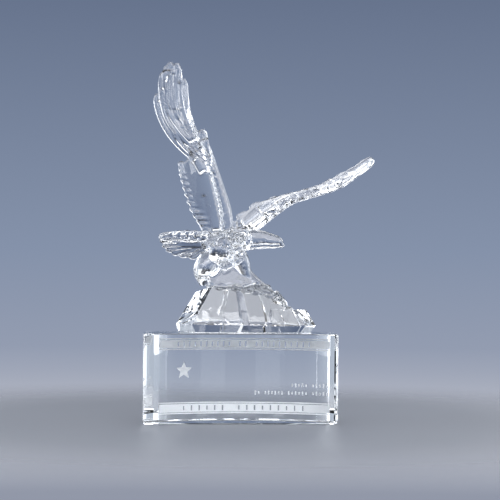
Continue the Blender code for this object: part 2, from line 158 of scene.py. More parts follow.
def cut(target: bpy.types.Object, tools: Sequence[bpy.types.Object]) -> bpy.types.Object:
    """Cut an object with others, exactly, and remove the others.

    Args:
        target: the object that is kept.
        tools: the objects that cut it.

    Returns:
        The target with its new mesh.
    """
    for tool in tools:
        step = target.modifiers.new(tool.name, "BOOLEAN")
        step.operation = "DIFFERENCE"
        step.solver = "EXACT"
        step.object = tool
    settled(target)
    for tool in tools:
        bpy.data.objects.remove(tool, do_unlink=True)
    return target


# Finishes


def glass(
    name: str, colour: str, roughness: float, ior: float, through: float
) -> bpy.types.Material:
    """Start a glass finish, with plain values on the shader's own sockets.

    Args:
        name: the finish, in a maker's words.
        colour: sRGB hex.
        roughness: haze of the surface.
        ior: refractive index.
        through: share of the light that goes through it.

    Returns:
        The new material.
    """
    made = bpy.data.materials.new(name)
    made.use_nodes = True
    inputs = made.node_tree.nodes["Principled BSDF"].inputs
    inputs["Base Color"].default_value = linear(colour)
    inputs["Roughness"].default_value = roughness
    inputs["IOR"].default_value = ior
    inputs["Transmission Weight"].default_value = through
    return made


def roughen(
    made: bpy.types.Material, spacing: float, detail: float, strength: float, height: float
) -> None:
    """Give a material's surface fine unevenness.

    Args:
        made: the material.
        spacing: from one rise to the next, in millimetres.
        detail: how many finer scales of it there are.
        strength: how strongly it turns the light.
        height: its height in millimetres.
    """
    tree = made.node_tree
    place = add_node(tree, "ShaderNodeTexCoord")
    rises = add_node(tree, "ShaderNodeTexNoise",
                     values={"Scale": 1 / (spacing * MM), "Detail": detail},
                     links={"Vector": place.outputs["Object"]})
    bump = add_node(tree, "ShaderNodeBump",
                    values={"Strength": strength, "Distance": height * MM},
                    links={"Height": rises.outputs["Fac"]})
    tree.links.new(bump.outputs["Normal"], tree.nodes["Principled BSDF"].inputs["Normal"])


@dataclass(frozen=True)
class Crystal:
    """Clear crystal glass, told apart by how its surface was made.

    Attributes:
        name: the finish, in a maker's words.
        tint: sRGB hex of the light that it lets through.
        roughness: microscopic haze of the surface.
        ior: refractive index.
        ripple_mm: spacing of the faint waves that casting leaves, or 0 for a lapped surface.
        ripple: height of those waves in millimetres.
    """

    name: str
    tint: str
    roughness: float
    ior: float
    ripple_mm: float = 0.0
    ripple: float = 0.0

    def material(self) -> bpy.types.Material:
        """Build the material.

        Returns:
            A see-through material with plain values on the shader's own sockets.
        """
        made = glass(self.name, self.tint, self.roughness, self.ior, 1.0)
        if self.ripple:
            roughen(made, self.ripple_mm, 1.0, 1.0, self.ripple)
        return made


@dataclass(frozen=True)
class Etching:
    """Sandblasted glass: grit leaves a dense white frost that scatters the light back.

    Attributes:
        name: the finish, in a maker's words.
        frost: sRGB hex of the frost.
        roughness: how widely it scatters.
        grit_mm: spacing of the pits. Real pits are about 0.1 mm, drawn coarser so that they show.
        pit_depth: depth of the pits, as a share of their spacing.
        bite: how strongly the pits turn the light.
        ior: refractive index.
    """

    name: str
    frost: str
    roughness: float
    grit_mm: float
    pit_depth: float = 0.3
    bite: float = 0.6
    ior: float = 1.52

    def material(self) -> bpy.types.Material:
        """Build the material.

        Returns:
            A frosted material with fine pits.
        """
        made = glass(self.name, self.frost, self.roughness, self.ior, 0.0)
        roughen(made, self.grit_mm, 2.0, self.bite, self.grit_mm * self.pit_depth)
        return made


def dress(
    things: Sequence[bpy.types.Object],
    tools: Sequence[bpy.types.Object],
    first: Crystal,
    second: Crystal | Etching,
) -> None:
    """Give things one finish, and the tools that cut them the finish of what they leave.

    Args:
        things: the objects that are kept.
        tools: the objects that cut them.
        first: the finish outside the cuts.
        second: the finish that the cuts leave.
    """
    finishes = [first.material(), second.material()]
    for slot, group in enumerate((things, tools)):
        for thing in group:
            thing.data.materials.clear()
            for finish in finishes:
                thing.data.materials.append(finish)
            for polygon in thing.data.polygons:
                polygon.material_index = slot


# The clay that the figure is drawn in


@dataclass(frozen=True)
class Vane:
    """Cross-section of one cast feather, in figure units.

    Attributes:
        width: full width at its widest.
        thickness: depth of the blade.
        root: share of the width at the root.
        tilt: turn about its own length, in radians.
        shaft: height of the shaft over the blade, as a share of the depth.
        dish: depth of the hollow along its middle, as a share of the depth.
        rim: height of the raised edges, as a share of the depth.
        thin: how much the tip is thinner than the root.
    """

    width: float
    thickness: float
    root: float = 0.6
    tilt: float = 0.0
    shaft: float = 0.0
    dish: float = 0.0
    rim: float = 0.0
    thin: float = 0.15

    def share(self, u: float) -> float:
        """Share of the full width at a share of the length: narrow root, rounded tip.

        Args:
            u: share of the length, from the root.

        Returns:
            The width there, as a share of the full width.
        """
        swell = self.root + (1 - self.root) * math.sin(min(u / 0.4, 1.0) * math.pi / 2)
        tip_start = 0.88
        if u <= tip_start:
            return swell
        return swell * math.sqrt(max(0.12, 1 - ((u - tip_start) / (1 - tip_start)) ** 2))

    def depth(self, side: float) -> float:
        """Relative depth at a place across the blade.

        Args:
            side: the place across, from one edge at -1 to the other at 1.

        Returns:
            The depth there, as a share of the plain blade's.
        """
        ridge = self.shaft * math.exp(-(side / 0.22) ** 2)
        hollow = self.dish * math.exp(-(side / 0.42) ** 2)
        edge = self.rim * math.exp(-((abs(side) - 0.78) / 0.16) ** 2)
        return 1 + ridge - hollow + edge


def smooth_path(points: Sequence[Vector], steps: int) -> list[Vector]:
    """Places along a smooth curve through the given points.

    Args:
        points: what the curve passes through.
        steps: how many equal steps to take.

    Returns:
        One more place than there are steps.
    """
    ends = [points[0] * 2 - points[1]] + list(points) + [points[-1] * 2 - points[-2]]
    made = []
    spans = len(points) - 1
    for i in range(steps + 1):
        t = i / steps * spans
        k = min(int(t), spans - 1)
        f = t - k
        a, b, c, d = ends[k:k + 4]
        made.append(0.5 * ((2 * b) + (c - a) * f + (2 * a - 5 * b + 4 * c - d) * f * f
                           + (3 * b - a - 3 * c + d) * f ** 3))
    return made


def bent_path(root: Vector, bend: Vector, tip: Vector, steps: int) -> list[Vector]:
    """Places along one arc-like bend from root to tip.

    Args:
        root: the start.
        bend: the point that pulls the curve aside.
        tip: the end.
        steps: how many steps to take.

    Returns:
        One more place than there are steps.
    """
    return [root * (1 - u) ** 2 + bend * 2 * u * (1 - u) + tip * u ** 2
            for u in (i / steps for i in range(steps + 1))]


@dataclass(frozen=True)
class Groove:
    """A line pressed into the skin where it faces one way.

    Attributes:
        path: places along the line, in figure units.
        width: half width.
        depth: how deep it is pressed.
        toward: the way that the pressed skin faces. The line is projected along it.
        reach: how far along that way the skin may lie from the line.
    """

    path: Sequence[Vector]
    width: float
    depth: float
    toward: Vector
    reach: float = 60.0


class Skin:
    """The points of the melted skin as arrays, for relief that is put in point by point."""

    def __init__(self, bm: bmesh.types.BMesh) -> None:
        """Read the points of a mesh and the way that each faces.

        Args:
            bm: the mesh, which stays open until the points are written back.
        """
        self.bm = bm
        self.places = np.array([vert.co[:] for vert in bm.verts])
        self.normals = np.array([vert.normal[:] for vert in bm.verts])

    def press(self, groove: Groove) -> None:
        """Push the skin in along a line.

        Args:
            groove: the line and how it is pressed.
        """
        line = np.array([spot[:] for spot in smooth_path(groove.path, 8 * len(groove.path))])
        way = np.array(groove.toward.normalized()[:])
        margin = groove.reach + 3 * groove.width
        inside = np.all((self.places > line.min(axis=0) - margin)
                        & (self.places < line.max(axis=0) + margin), axis=1)
        picked = np.nonzero(inside & (self.normals @ way > 0.15))[0]
        nearest = np.full(len(picked), 3 * groove.width)
        for spot in line:
            gap = self.places[picked] - spot
            along = gap @ way
            side = np.linalg.norm(gap - along[:, None] * way, axis=1)
            nearest = np.where(np.abs(along) < groove.reach, np.minimum(nearest, side), nearest)
        deep = np.where(nearest < 3 * groove.width,
                        groove.depth * np.exp(-(nearest / groove.width) ** 2), 0)
        self.places[picked] -= self.normals[picked] * deep[:, None]

    def raise_by(self, height: Callable[[Vector], float]) -> None:
        """Move every point out along the way that it faces, by a height that depends on its place.

        Args:
            height: gives the height for a place.
        """
        rise = np.array([height(Vector(place)) for place in self.places])
        self.places += self.normals * rise[:, None]

    def even_out(self, rounds: int) -> None:
        """Take fine unevenness out without thinning the forms.

        Args:
            rounds: how often every point is drawn to its neighbours and let go again.
        """
        pairs = np.array([[vert.index for vert in edge.verts] for edge in self.bm.edges])
        count = np.bincount(pairs.ravel(), minlength=len(self.places))[:, None]
        for pull in (0.5, -0.52) * rounds:
            total = np.zeros_like(self.places)
            for axis in range(3):
                for near, far in ((0, 1), (1, 0)):
                    total[:, axis] += np.bincount(pairs[:, near], self.places[pairs[:, far], axis],
                                                  minlength=len(self.places))
            self.places += pull * (total / count - self.places)

    def write(self) -> None:
        """Put the moved points back into the mesh."""
        for vert, place in zip(self.bm.verts, self.places):
            vert.co = place


@dataclass
class Clay:
    """Lofted forms that are melted into one skin.

    Attributes:
        grain: size of the melting grid, in figure units. It is about one pixel of the view.
        passes: rounds of smoothing after the melt.
        bm: the forms that have been laid so far.
    """

    grain: float = 3.35
    passes: int = 7
    bm: bmesh.types.BMesh = field(default_factory=bmesh.new)

    def loft(self, rings: Sequence[Sequence[Vector]]) -> None:
        """Close a skin over a row of rings with the same number of points.

        Args:
            rings: the places round each ring, in order.
        """
        loops = [[self.bm.verts.new(point) for point in ring] for ring in rings]
        count = len(rings[0])
        for one, two in zip(loops, loops[1:]):
            for i in range(count):
                j = (i + 1) % count
                self.bm.faces.new((one[i], one[j], two[j], two[i]))
        self.bm.faces.new(list(reversed(loops[0])))
        self.bm.faces.new(loops[-1])

    def blade(self, spine: Sequence[Vector], vane: Vane, face: Vector, sides: int = 26) -> None:
        """Lay one feather along a spine, facing one way.

        Args:
            spine: places from the root to the tip.
            vane: the cross-section.
            face: the way that its flat side looks.
            sides: points round each ring.
        """
        last = len(spine) - 1
        rings = []
        for i, centre in enumerate(spine):
            ahead = (spine[min(i + 1, last)] - spine[max(i - 1, 0)]).normalized()
            across = Matrix.Rotation(vane.tilt, 3, ahead) @ ahead.cross(face).normalized()
            lift = across.cross(ahead).normalized()
            share = vane.share(i / last)
            half = vane.width / 2 * share
            deep = vane.thickness / 2 * (1 - vane.thin * i / last) * (0.6 + 0.4 * share)
            ring = []
            for k in range(sides):
                angle = 2 * math.pi * k / sides
                side = math.cos(angle)
                ring.append(centre + across * half * side
                            + lift * deep * vane.depth(side) * math.sin(angle))
            rings.append(ring)
        self.loft(rings)

    def limb(
        self,
        spine: Sequence[Vector],
        radii: Sequence[float],
        flat: float = 1.0,
        face: Vector = Vector((0, -1, 0)),
        sides: int = 28,
    ) -> None:
        """Run a rounded form along a spine.

        Args:
            spine: places from one end to the other.
            radii: radius at evenly spaced places along it.
            flat: depth along the facing way, as a share of the radius.
            face: the way that its flat side looks.
            sides: points round each ring.
        """
        last = len(spine) - 1
        rings = []
        for i, centre in enumerate(spine):
            ahead = (spine[min(i + 1, last)] - spine[max(i - 1, 0)]).normalized()
            across = ahead.cross(face).normalized()
            lift = across.cross(ahead).normalized()
            share = i / last * (len(radii) - 1)
            k = min(int(share), len(radii) - 2)
            radius = radii[k] + (radii[k + 1] - radii[k]) * (share - k)
            angles = [2 * math.pi * n / sides for n in range(sides)]
            rings.append([centre + across * radius * math.cos(a)
                          + lift * radius * flat * math.sin(a) for a in angles])
        self.loft(rings)

    def ball(self, centre: Vector, radii: tuple[float, float, float]) -> None:
        """Add an egg-shaped form.

        Args:
            centre: its middle.
            radii: its radii along X, Y and Z.
        """
        matrix = Matrix.Translation(centre) @ Matrix.Diagonal((*radii, 1.0))
        bmesh.ops.create_uvsphere(self.bm, u_segments=48, v_segments=28, radius=1.0, matrix=matrix)

    def keep_main_body(self, bm: bmesh.types.BMesh) -> None:
        """Drop specks and closed bubbles that lie apart from the main skin.

        Args:
            bm: the melted skin.
        """
        left = set(bm.verts)
        shells = []
        while left:
            stack = [left.pop()]
            shell = set(stack)
            while stack:
                for link in stack.pop().link_edges:
                    for other in link.verts:
                        if other in left:
                            left.remove(other)
                            shell.add(other)
                            stack.append(other)
            shells.append(shell)
        shells.sort(key=len)
        for shell in shells[:-1]:
            bmesh.ops.delete(bm, geom=list(shell), context="VERTS")

    def melted(self, name: str, carve: Callable[[bmesh.types.BMesh], None]) -> bpy.types.Object:
        """Melt everything into one skin, soften it and carve its surface.

        Args:
            name: the object's name.
            carve: moves the skin's points for the finest relief.

        Returns:
            The skin as an object, still in figure units.
        """
        bmesh.ops.recalc_face_normals(self.bm, faces=self.bm.faces)
        figure = mesh_object(self.bm, name)
        melt = figure.modifiers.new("Melt", "REMESH")
        melt.mode = "VOXEL"
        melt.voxel_size = self.grain
        melt.use_smooth_shade = True
        soften = figure.modifiers.new("Soften", "SMOOTH")
        soften.factor = 0.5
        soften.iterations = self.passes
        settled(figure)
        bm = bmesh.new()
        bm.from_mesh(figure.data)
        self.keep_main_body(bm)
        bm.normal_update()
        carve(bm)
        bm.to_mesh(figure.data)
        bm.free()
        return figure


# The eagle


@dataclass
class Wing:
    """One wing: a bone along the leading edge, and rows of feathers that hang from it.

    Attributes:
        lead: places along the leading edge, from the shoulder out.
        trail: places along the trailing edge, from the body out.
        face: the way that the wing's flat side looks.
        bone: radii of the leading edge.
        web: depth of the smooth web between the bone and the feather tips.
        secondary: cross-section of the secondaries.
        secondaries: how many there are.
        root_span: how far along the bone their roots reach.
        camber: how far they bow towards the facing way.
        droop: how far they bow upwards.
        primaries: each long feather as root, bend, tip and cross-section.
        chain: length, width and number of the small scales along the leading edge, if any.
        chain_span: share of the bone at which they start and end.
        hand: other feathers over the wrist, as root, bend, tip and cross-section.
        palm: a rounded form under them, as start, end, radius.
        marks: lines pressed into it, as places across and up, half width and depth.
        mark_side: how far forward the marks lie before they are projected.
        mark_reach: how far from there the marked skin may lie.
        toward: the way that the marked side faces.
        steps: how many steps the leading and the trailing edge are taken in.
    """

    lead: Sequence[Vector]
    trail: Sequence[Vector]
    face: Vector
    bone: Sequence[float]
    web: float
    secondary: Vane
    secondaries: int
    root_span: float
    camber: float
    droop: float
    primaries: Sequence[tuple[Vector, Vector, Vector, Vane]]
    chain: tuple[float, float, int] = (0, 0, 0)
    chain_span: tuple[float, float] = (0, 0)
    hand: Sequence[tuple[Vector, Vector, Vector, Vane]] = ()
    palm: tuple[Vector, Vector, float] | None = None
    marks: Sequence[tuple[Sequence[tuple[float, float]], float, float]] = ()
    mark_side: float = -30
    mark_reach: float = 190
    toward: Vector = Vector((-0.087, -1, 0))
    steps: int = 48

    def panel(self, clay: Clay, arm: Sequence[Vector], edge: Sequence[Vector]) -> None:
        """The smooth web of the wing, thickest by the bone.

        Args:
            clay: what it is laid into.
            arm: places along the leading edge.
            edge: places along the trailing edge.
        """
        sides = 30
        rings = []
        for i in range(4, self.steps - 3):
            goal = edge[i].lerp(arm[i], 0.12)
            centre = arm[i].lerp(goal, 0.5)
            across = (goal - arm[i]) / 2
            ring = []
            for k in range(sides):
                angle = 2 * math.pi * k / sides
                deep = self.web * (0.5 - 0.2 * math.cos(angle))
                ring.append(centre + across * math.cos(angle)
                            + self.face * deep * math.sin(angle))
            rings.append(ring)
        clay.loft(rings)

    def links(self, clay: Clay, arm: Sequence[Vector]) -> None:
        """A chain of small blocky scales along the leading edge, like cobbles.

        Args:
            clay: what they are laid into.
            arm: places along the leading edge.
        """
        length, width, number = self.chain
        start, end = self.chain_span
        for i in range(number):
            s = start + (end - start) * i / (number - 1)
            place = smooth_path(self.lead, 200)[round(s * 200)]
            k = min(self.steps - 1, int(s * self.steps))
            along = (arm[k + 1] - arm[k]).normalized()
            out = along.cross(self.face).normalized()
            radius = self.bone[min(len(self.bone) - 1, round(s * (len(self.bone) - 1)))]
            for way in (self.face, -self.face, out, -out):
                lift = way * radius * (1.2 if abs(way.dot(self.face)) > 0.5 else 0.7)
                clay.blade([place + lift - along * length / 2, place + lift * 1.06,
                            place + lift + along * length / 2],
                           Vane(width, width * 0.5, root=0.9, thin=0), way)

    def add_to(self, clay: Clay) -> None:
        """Lay the whole wing into the clay.

        Args:
            clay: what the wing is laid into.
        """
        arm = smooth_path(self.lead, self.steps)
        edge = smooth_path(self.trail, self.steps)
        clay.limb(arm, self.bone, flat=1.35, face=self.face)
        self.panel(clay, arm, edge)
        for i in range(self.secondaries):
            s = i / (self.secondaries - 1)
            root = arm[round((0.02 + self.root_span * s) * self.steps)]
            tip = edge[round(s * self.steps)]
            bend = root.lerp(tip, 0.5) + self.face * self.camber + Vector((0, 0, self.droop))
            clay.blade(bent_path(root, bend, tip, 20), self.secondary, self.face)
        for root, bend, tip, vane in [*self.primaries, *self.hand]:
            clay.blade(bent_path(root, bend, tip, 30), vane, self.face)
        if self.palm:
            start, end, radius = self.palm
            clay.limb(bent_path(start, start.lerp(end, 0.5), end, 8), (radius, radius), flat=0.5,
                      face=self.face)
        self.links(clay, arm)

    def press_marks(self, skin: Skin) -> None:
        """Press the wing's lines into the skin.

        Args:
            skin: the melted skin of the whole figure.
        """
        for points, width, depth in self.marks:
            path = [Vector((x, self.mark_side, z)) for x, z in points]
            skin.press(Groove(path, width, depth, self.toward, self.mark_reach))


def ring(x: float, z: float, radius: float) -> list[tuple[float, float]]:
    """Places round a small circle, seen from the front."""
    return [(x + radius * math.cos(math.pi * k / 4), z + radius * math.sin(math.pi * k / 4))
            for k in range(9)]


def raised_wing() -> Wing:
    """The eagle's right wing, lifted high, seen from its underside.

    Returns:
        The wing, with six long fingers that curve up side by side.
    """
    leaf = Vane(46, 28, root=0.85, tilt=0.12, dish=0.6, rim=0.25)
    finger = Vane(42, 26, root=0.75, tilt=0.16, dish=0.5, rim=0.2)
    slim = Vane(34, 22, root=0.7, tilt=0.16, dish=0.4, rim=0.2)
    primaries = [
        (Vector((-156, -42, 706)), Vector((-214, -40, 790)), Vector((-207, -18, 930)), leaf),
        (Vector((-150, -30, 690)), Vector((-236, -24, 790)), Vector((-227, -2, 990)), finger),
        (Vector((-150, -20, 676)), Vector((-264, -12, 790)), Vector((-251, 10, 994)), finger),
        (Vector((-152, -10, 662)), Vector((-270, 0, 780)), Vector((-267, 16, 980)), slim),
        (Vector((-152, 0, 648)), Vector((-284, 10, 758)), Vector((-281, 24, 956)), slim),
        (Vector((-150, 14, 630)), Vector((-300, 26, 750)), Vector((-298, 36, 878)), slim),
    ]
    hand = [(Vector((-106, -52, 590)), Vector((-122, -58, 668)), Vector((-137, -46, 742)),
             Vane(36, 30, root=0.8, dish=0.35, rim=0.2)),
            (Vector((-158, -6, 670)), Vector((-270, 0, 800)), Vector((-250, 16, 962)),
             Vane(108, 18, root=0.5))]
    lines = [
        ((-298, 845), (-285, 796), (-262, 752), (-232, 715), (-202, 683)),
        ((-283, 891), (-279, 836), (-262, 787), (-231, 742), (-200, 707), (-169, 677)),
        ((-272, 919), (-272, 859), (-256, 808), (-228, 762), (-193, 723), (-155, 688)),
        ((-265, 938), (-266, 878), (-254, 827), (-235, 787), (-206, 748)),
        ((-242, 943), (-241, 878), (-235, 822), (-219, 771), (-193, 735)),
        ((-188, 679), (-155, 647), (-115, 617)),
        ((-176, 693), (-146, 661), (-108, 629)),
        ((-165, 705), (-139, 675), (-106, 643)),
        ((-148, 726), (-145, 698), (-127, 666), (-109, 638)),
        ((-108, 601), (-88, 517), (-73, 452), (-64, 405)),
    ]
    marks = [(line, 3.8, 5.5) for line in lines]
    for nest in range(3):
        spread = 7.5 * nest
        marks.append((((-225 - spread, 815), (-213 - spread * 0.7, 772 - spread * 0.8),
                       (-191 + spread * 0.4, 753 - spread * 2.2),
                       (-178 + spread, 774 - spread), (-184 + spread, 812)), 3.4, 4.5))
    marks.append((((-221, 909), (-218, 836)), 7.0, 5.0))
    marks.append((((-213, 809), (-203, 775)), 6.0, 5.0))
    marks.append((((-254, 948), (-256, 878), (-244, 815)), 8.0, 5.0))
    marks.append((((-135, 728), (-133, 700)), 4.0, 5.0))
    marks.append((((-128, 493), (-116, 438), (-104, 382)), 9.0, 4.0))
    for link in range(8):
        share = link / 7
        marks.append((ring(-93 + 28 * share, 572 - 136 * share, 7.5), 3.2, 5.0))
    return Wing(
        lead=[Vector(p) for p in ((-40, -10, 335), (-46, -36, 440), (-72, -46, 530),
                                  (-98, -48, 612), (-116, -44, 668), (-128, -36, 706))],
        trail=[Vector(p) for p in ((-112, 48, 366), (-140, 56, 400), (-172, 60, 450),
                                   (-195, 62, 516), (-211, 62, 576), (-218, 60, 624))],
        face=Vector((-0.6, -0.8, 0.05)).normalized(), bone=(24, 21, 18, 15, 14, 10), web=26,
        secondary=Vane(30, 12, root=0.9, tilt=0.05), secondaries=13, root_span=0.5,
        camber=0, droop=-14, primaries=primaries, chain=(15, 14, 16), chain_span=(0.3, 0.86),
        hand=hand, palm=(Vector((-118, -40, 596)), Vector((-166, -18, 684)), 34), marks=marks)


def spread_wing() -> Wing:
    """The eagle's left wing, spread to the side and away.

    Returns:
        The wing, seen nearly edge-on, with six fingers at its end.
    """
    vane = Vane(46, 20, root=0.75)
    primaries = []
    for i in range(6):
        s = i / 5
        tip = Vector((544 - 150 * s * s, 322 + 8 * s, 656 - 80 * s * s))
        root = Vector((400, 236, 548)).lerp(Vector((330, 226, 534)), s)
        bend = Vector((482, 284, 594)).lerp(Vector((380, 300, 568)), s)
        primaries.append((root, bend, tip, vane))
    lead = [Vector(p) for p in ((-5, 20, 340), (62, 48, 386), (134, 92, 438), (212, 140, 490),
                                (270, 170, 511), (322, 197, 524), (372, 226, 541),
                                (424, 258, 562), (474, 288, 596))]
    trail = [Vector(p) for p in ((-4, 176, 408), (34, 192, 446), (88, 216, 484), (161, 250, 508),
                                 (230, 282, 524), (290, 298, 540), (342, 312, 552),
                                 (392, 318, 568), (440, 322, 590))]
    face = (trail[3] - lead[3]).cross(lead[4] - lead[1]).normalized()
    band = [Vector(p) for p in ((102, 0, 447), (183, 0, 475), (235, 0, 506), (274, 0, 525),
                                (313, 0, 530), (356, 0, 546), (396, 0, 565), (439, 0, 585),
                                (482, 0, 616))]
    course = smooth_path(band, 110)
    marks = []
    for i in range(11):
        middle = course[10 * i]
        ahead = course[min(10 * i + 4, 110)] - course[10 * i - 1]
        across = Vector((-ahead.z, 0, ahead.x)).normalized() * 22
        marks.append(([((middle - across).x, (middle - across).z), (middle.x + 3, middle.z),
                       ((middle + across).x, (middle + across).z)], 4.0, 5.0))
    return Wing(
        lead=lead, trail=trail, face=face, bone=(20, 17, 15, 14, 14, 13, 13, 13, 13), web=26,
        secondary=Vane(60, 9, root=0.8), secondaries=9, root_span=0.5,
        camber=0, droop=-2, primaries=primaries, marks=marks, mark_side=250,
        hand=[(Vector((290, 232, 524)), Vector((445, 301, 562)), Vector((550, 327, 660)),
               Vane(84, 32, root=0.85, thin=0))])


@dataclass
class Body:
    """Torso, neck, chest, tail, head and legs.

    Attributes:
        tail_feathers: feathers in the fan.
        hackles: pointed feathers in the lower row on the chest.
        head_depth: from the head's mid-plane to its cheeks.
        scale_length: length of the small scale feathers on the neck and back.
        scale_width: their width.
        scale_lift: how far they rise from the hollows between them.
        plumage_grain: size of the uneven spots on the head and the beak.
        plumage_lift: height of these spots.
    """

    tail_feathers: int = 7
    hackles: int = 8
    head_depth: float = 40
    scale_length: float = 34
    scale_width: float = 30
    scale_lift: float = 4.4
    plumage_grain: float = 12
    plumage_lift: float = 1.2

    def tail(self, clay: Clay) -> None:
        """Feathers fanned behind the body, the far side lower.

        Args:
            clay: what they are laid into.
        """
        root = Vector((-92, 34, 320))
        up = Vector((0.3, -0.25, 0.92))
        for i in range(self.tail_feathers):
            s = i / (self.tail_feathers - 1)
            tip = Vector((-282 + 120 * s * s, 118 + 104 * s, 355 - 150 * s + 66 * s * s))
            bend = root.lerp(tip, 0.5) + Vector((0, 0, 5))
            clay.blade(bent_path(root, bend, tip, 20),
                       Vane(40, 24, root=0.5, tilt=0.3, dish=0.45), up)
        slab = Vane(74, 40, root=0.8, dish=0.15)
        clay.blade(bent_path(Vector((-100, 30, 348)), Vector((-190, 84, 366)),
                             Vector((-280, 132, 348)), 20), slab, up)

    def torso(self, clay: Clay) -> None:
        """Back, shoulders and the point of the chest.

        Args:
            clay: what they are laid into.
        """
        clay.limb(smooth_path([Vector(p) for p in ((-122, 48, 318), (-90, 26, 318), (-52, 2, 312),
                                                   (-18, -14, 316), (4, -24, 326))], 24),
                  (16, 40, 58, 60, 54, 42), flat=0.74)
        clay.limb(smooth_path([Vector(p) for p in ((-40, -20, 330), (-62, -30, 290),
                                                   (-70, -40, 258), (-70, -46, 236))], 16),
                  (50, 44, 24, 8), flat=0.7)

    def chest(self, clay: Clay) -> None:
        """Long hackles that stream from the cheek and neck to the point of the chest.

        Args:
            clay: what they are laid into.
        """
        face = Vector((0.1, -1, 0.1))
        for i in range(self.hackles):
            s = i / (self.hackles - 1)
            bulge = 13 * math.sin(math.pi * s)
            start = Vector((-106 + 124 * s, -52 - bulge, 324 - 54 * s))
            point = Vector((-98 + 34 * s, -60 - bulge * 0.6, 268 - 38 * s))
            bend = start.lerp(point, 0.5) + Vector((4, -14, 6 - 14 * s))
            clay.blade(bent_path(start, bend, point, 16), Vane(21, 18, root=0.8, shaft=0.3), face)
        for i in range(self.hackles - 2):
            s = i / (self.hackles - 3)
            start = Vector((-88 + 106 * s, -66, 332 - 40 * s))
            point = Vector((-86 + 54 * s, -75, 292 - 22 * s))
            bend = start.lerp(point, 0.5) + Vector((2, -10, 4))
            clay.blade(bent_path(start, bend, point, 12), Vane(19, 15, root=0.8, shaft=0.3), face)

    def head(self, clay: Clay) -> None:
        """Head in profile with a heavy straight beak, brow ridges and eyes.

        Args:
            clay: what they are laid into.
        """
        clay.limb(smooth_path([Vector(p) for p in ((-62, -14, 318), (-34, -26, 334), (4, -36, 338),
                                                   (44, -42, 340))], 20),
                  (34, 46, 46, 42, 36), flat=0.8)
        clay.limb(smooth_path([Vector(p) for p in ((10, -38, 338), (50, -43, 341), (86, -46, 340),
                                                   (118, -49, 336), (146, -51, 331),
                                                   (162, -53, 326))], 28),
                  (40, 40, 35, 29, 23, 14), flat=0.62)
        clay.blade(bent_path(Vector((134, -51, 328)), Vector((160, -53, 330)),
                             Vector((164, -53, 312)), 12), Vane(22, 20), Vector((0, -1, 0)))
        middle = Vector((0, -36, 0))
        for side in (-1, 1):
            across = Vector((0.15, 1, 0)) * side * self.head_depth
            brow = [middle + across * share + Vector((x, 0, z)) for x, z, share in
                    ((-84, 326, 0.6), (-60, 352, 0.85), (-14, 362, 0.9), (34, 352, 0.7))]
            clay.limb(smooth_path(brow, 20), (4, 9, 10, 8, 4), sides=16)
            clay.ball(middle + across * 0.93 + Vector((-12, 0, 325)), (10, 8, 9))

    def grooves(self) -> list[Groove]:
        """Lines pressed into the head: under the brows, round the eyes, nostrils and gape.

        Returns:
            The same lines for both cheeks.
        """
        lines = [
            (((-84, 316), (-68, 340), (-34, 353), (5, 346), (32, 338)), 4.5, 10.0),
            (((-34, 334), (-30, 314), (-10, 306), (8, 316), (-4, 332)), 4.0, 7.0),
            (((6, 293), (-33, 256), (-66, 232)), 4.0, 4.0),
            (((-82, 292), (-64, 263), (-67, 238)), 4.0, 4.0),
            (((20, 345), (28, 341)), 4.0, 6.0),
            (((30, 316), (90, 321), (150, 322)), 3.6, 4.0),
            (((-66, 336), (-50, 320), (-48, 304)), 4.0, 4.0),
        ]
        made = []
        for points, width, depth in lines:
            for side in (-1, 1):
                path = [Vector((x, -40 + 34 * side, z)) for x, z in points]
                made.append(Groove(path, width, depth, Vector((0, side, 0)), reach=36))
        return made

    def shingle(self, place: Vector) -> float:
        """Height of the small scale feathers on the neck, the back and the root of the tail.

        Args:
            place: a point of the skin, in figure units.

        Returns:
            The height there.
        """
        patches = [
            (Vector((-30, -20, 322)), Vector((110, 90, 62)), Vector((-0.8, 0.1, -0.6))),
            (Vector((-170, 70, 362)), Vector((110, 70, 26)), Vector((-0.9, 0.4, 0))),
        ]
        height = 0.0
        for centre, radii, flow in patches:
            away = place - centre
            far = math.sqrt(sum((away[k] / radii[k]) ** 2 for k in range(3)))
            if far < 1:
                along = flow.normalized()
                across = along.cross(Vector((0, -1, 0.2))).normalized()
                u = away.dot(along) / self.scale_length
                v = away.dot(across) / self.scale_width
                height += (self.scale_lift * math.cos(2 * math.pi * u) * math.cos(2 * math.pi * v)
                           / 2 * min(1.0, 2.5 * (1 - far)))
        return height

    def plumage(self, place: Vector) -> float:
        """Height of the fine uneven plumage on the head and the beak.

        Args:
            place: a point of the skin, in figure units.

        Returns:
            The height there.
        """
        if not 290 < place.z < 385 or not -60 < place.x < 175:
            return 0.0
        return noise.noise(place / self.plumage_grain) * self.plumage_lift

    def leg(
        self,
        clay: Clay,
        places: Sequence[Vector],
        radii: Sequence[float],
        aim: Vector,
    ) -> None:
        """A feathered thigh, a short shank and a foot with four talons.

        Args:
            clay: what the leg is laid into.
            places: hip, knee and ankle.
            radii: radii from the hip down.
            aim: the way that the middle toe points.
        """
        hip, knee, ankle = places
        clay.limb(smooth_path([hip, hip.lerp(knee, 0.5), knee, ankle], 20), radii, flat=0.92)
        for angle in (-38, 0, 38, 180):
            way = Matrix.Rotation(math.radians(angle), 3, "Z") @ aim
            reach = 34 if angle == 180 else 46
            clay.limb(bent_path(ankle, ankle + way * reach * 0.6 + Vector((0, 0, 10)),
                                ankle + way * reach + Vector((0, 0, -16)), 12), (10, 9, 8, 4),
                      sides=16)

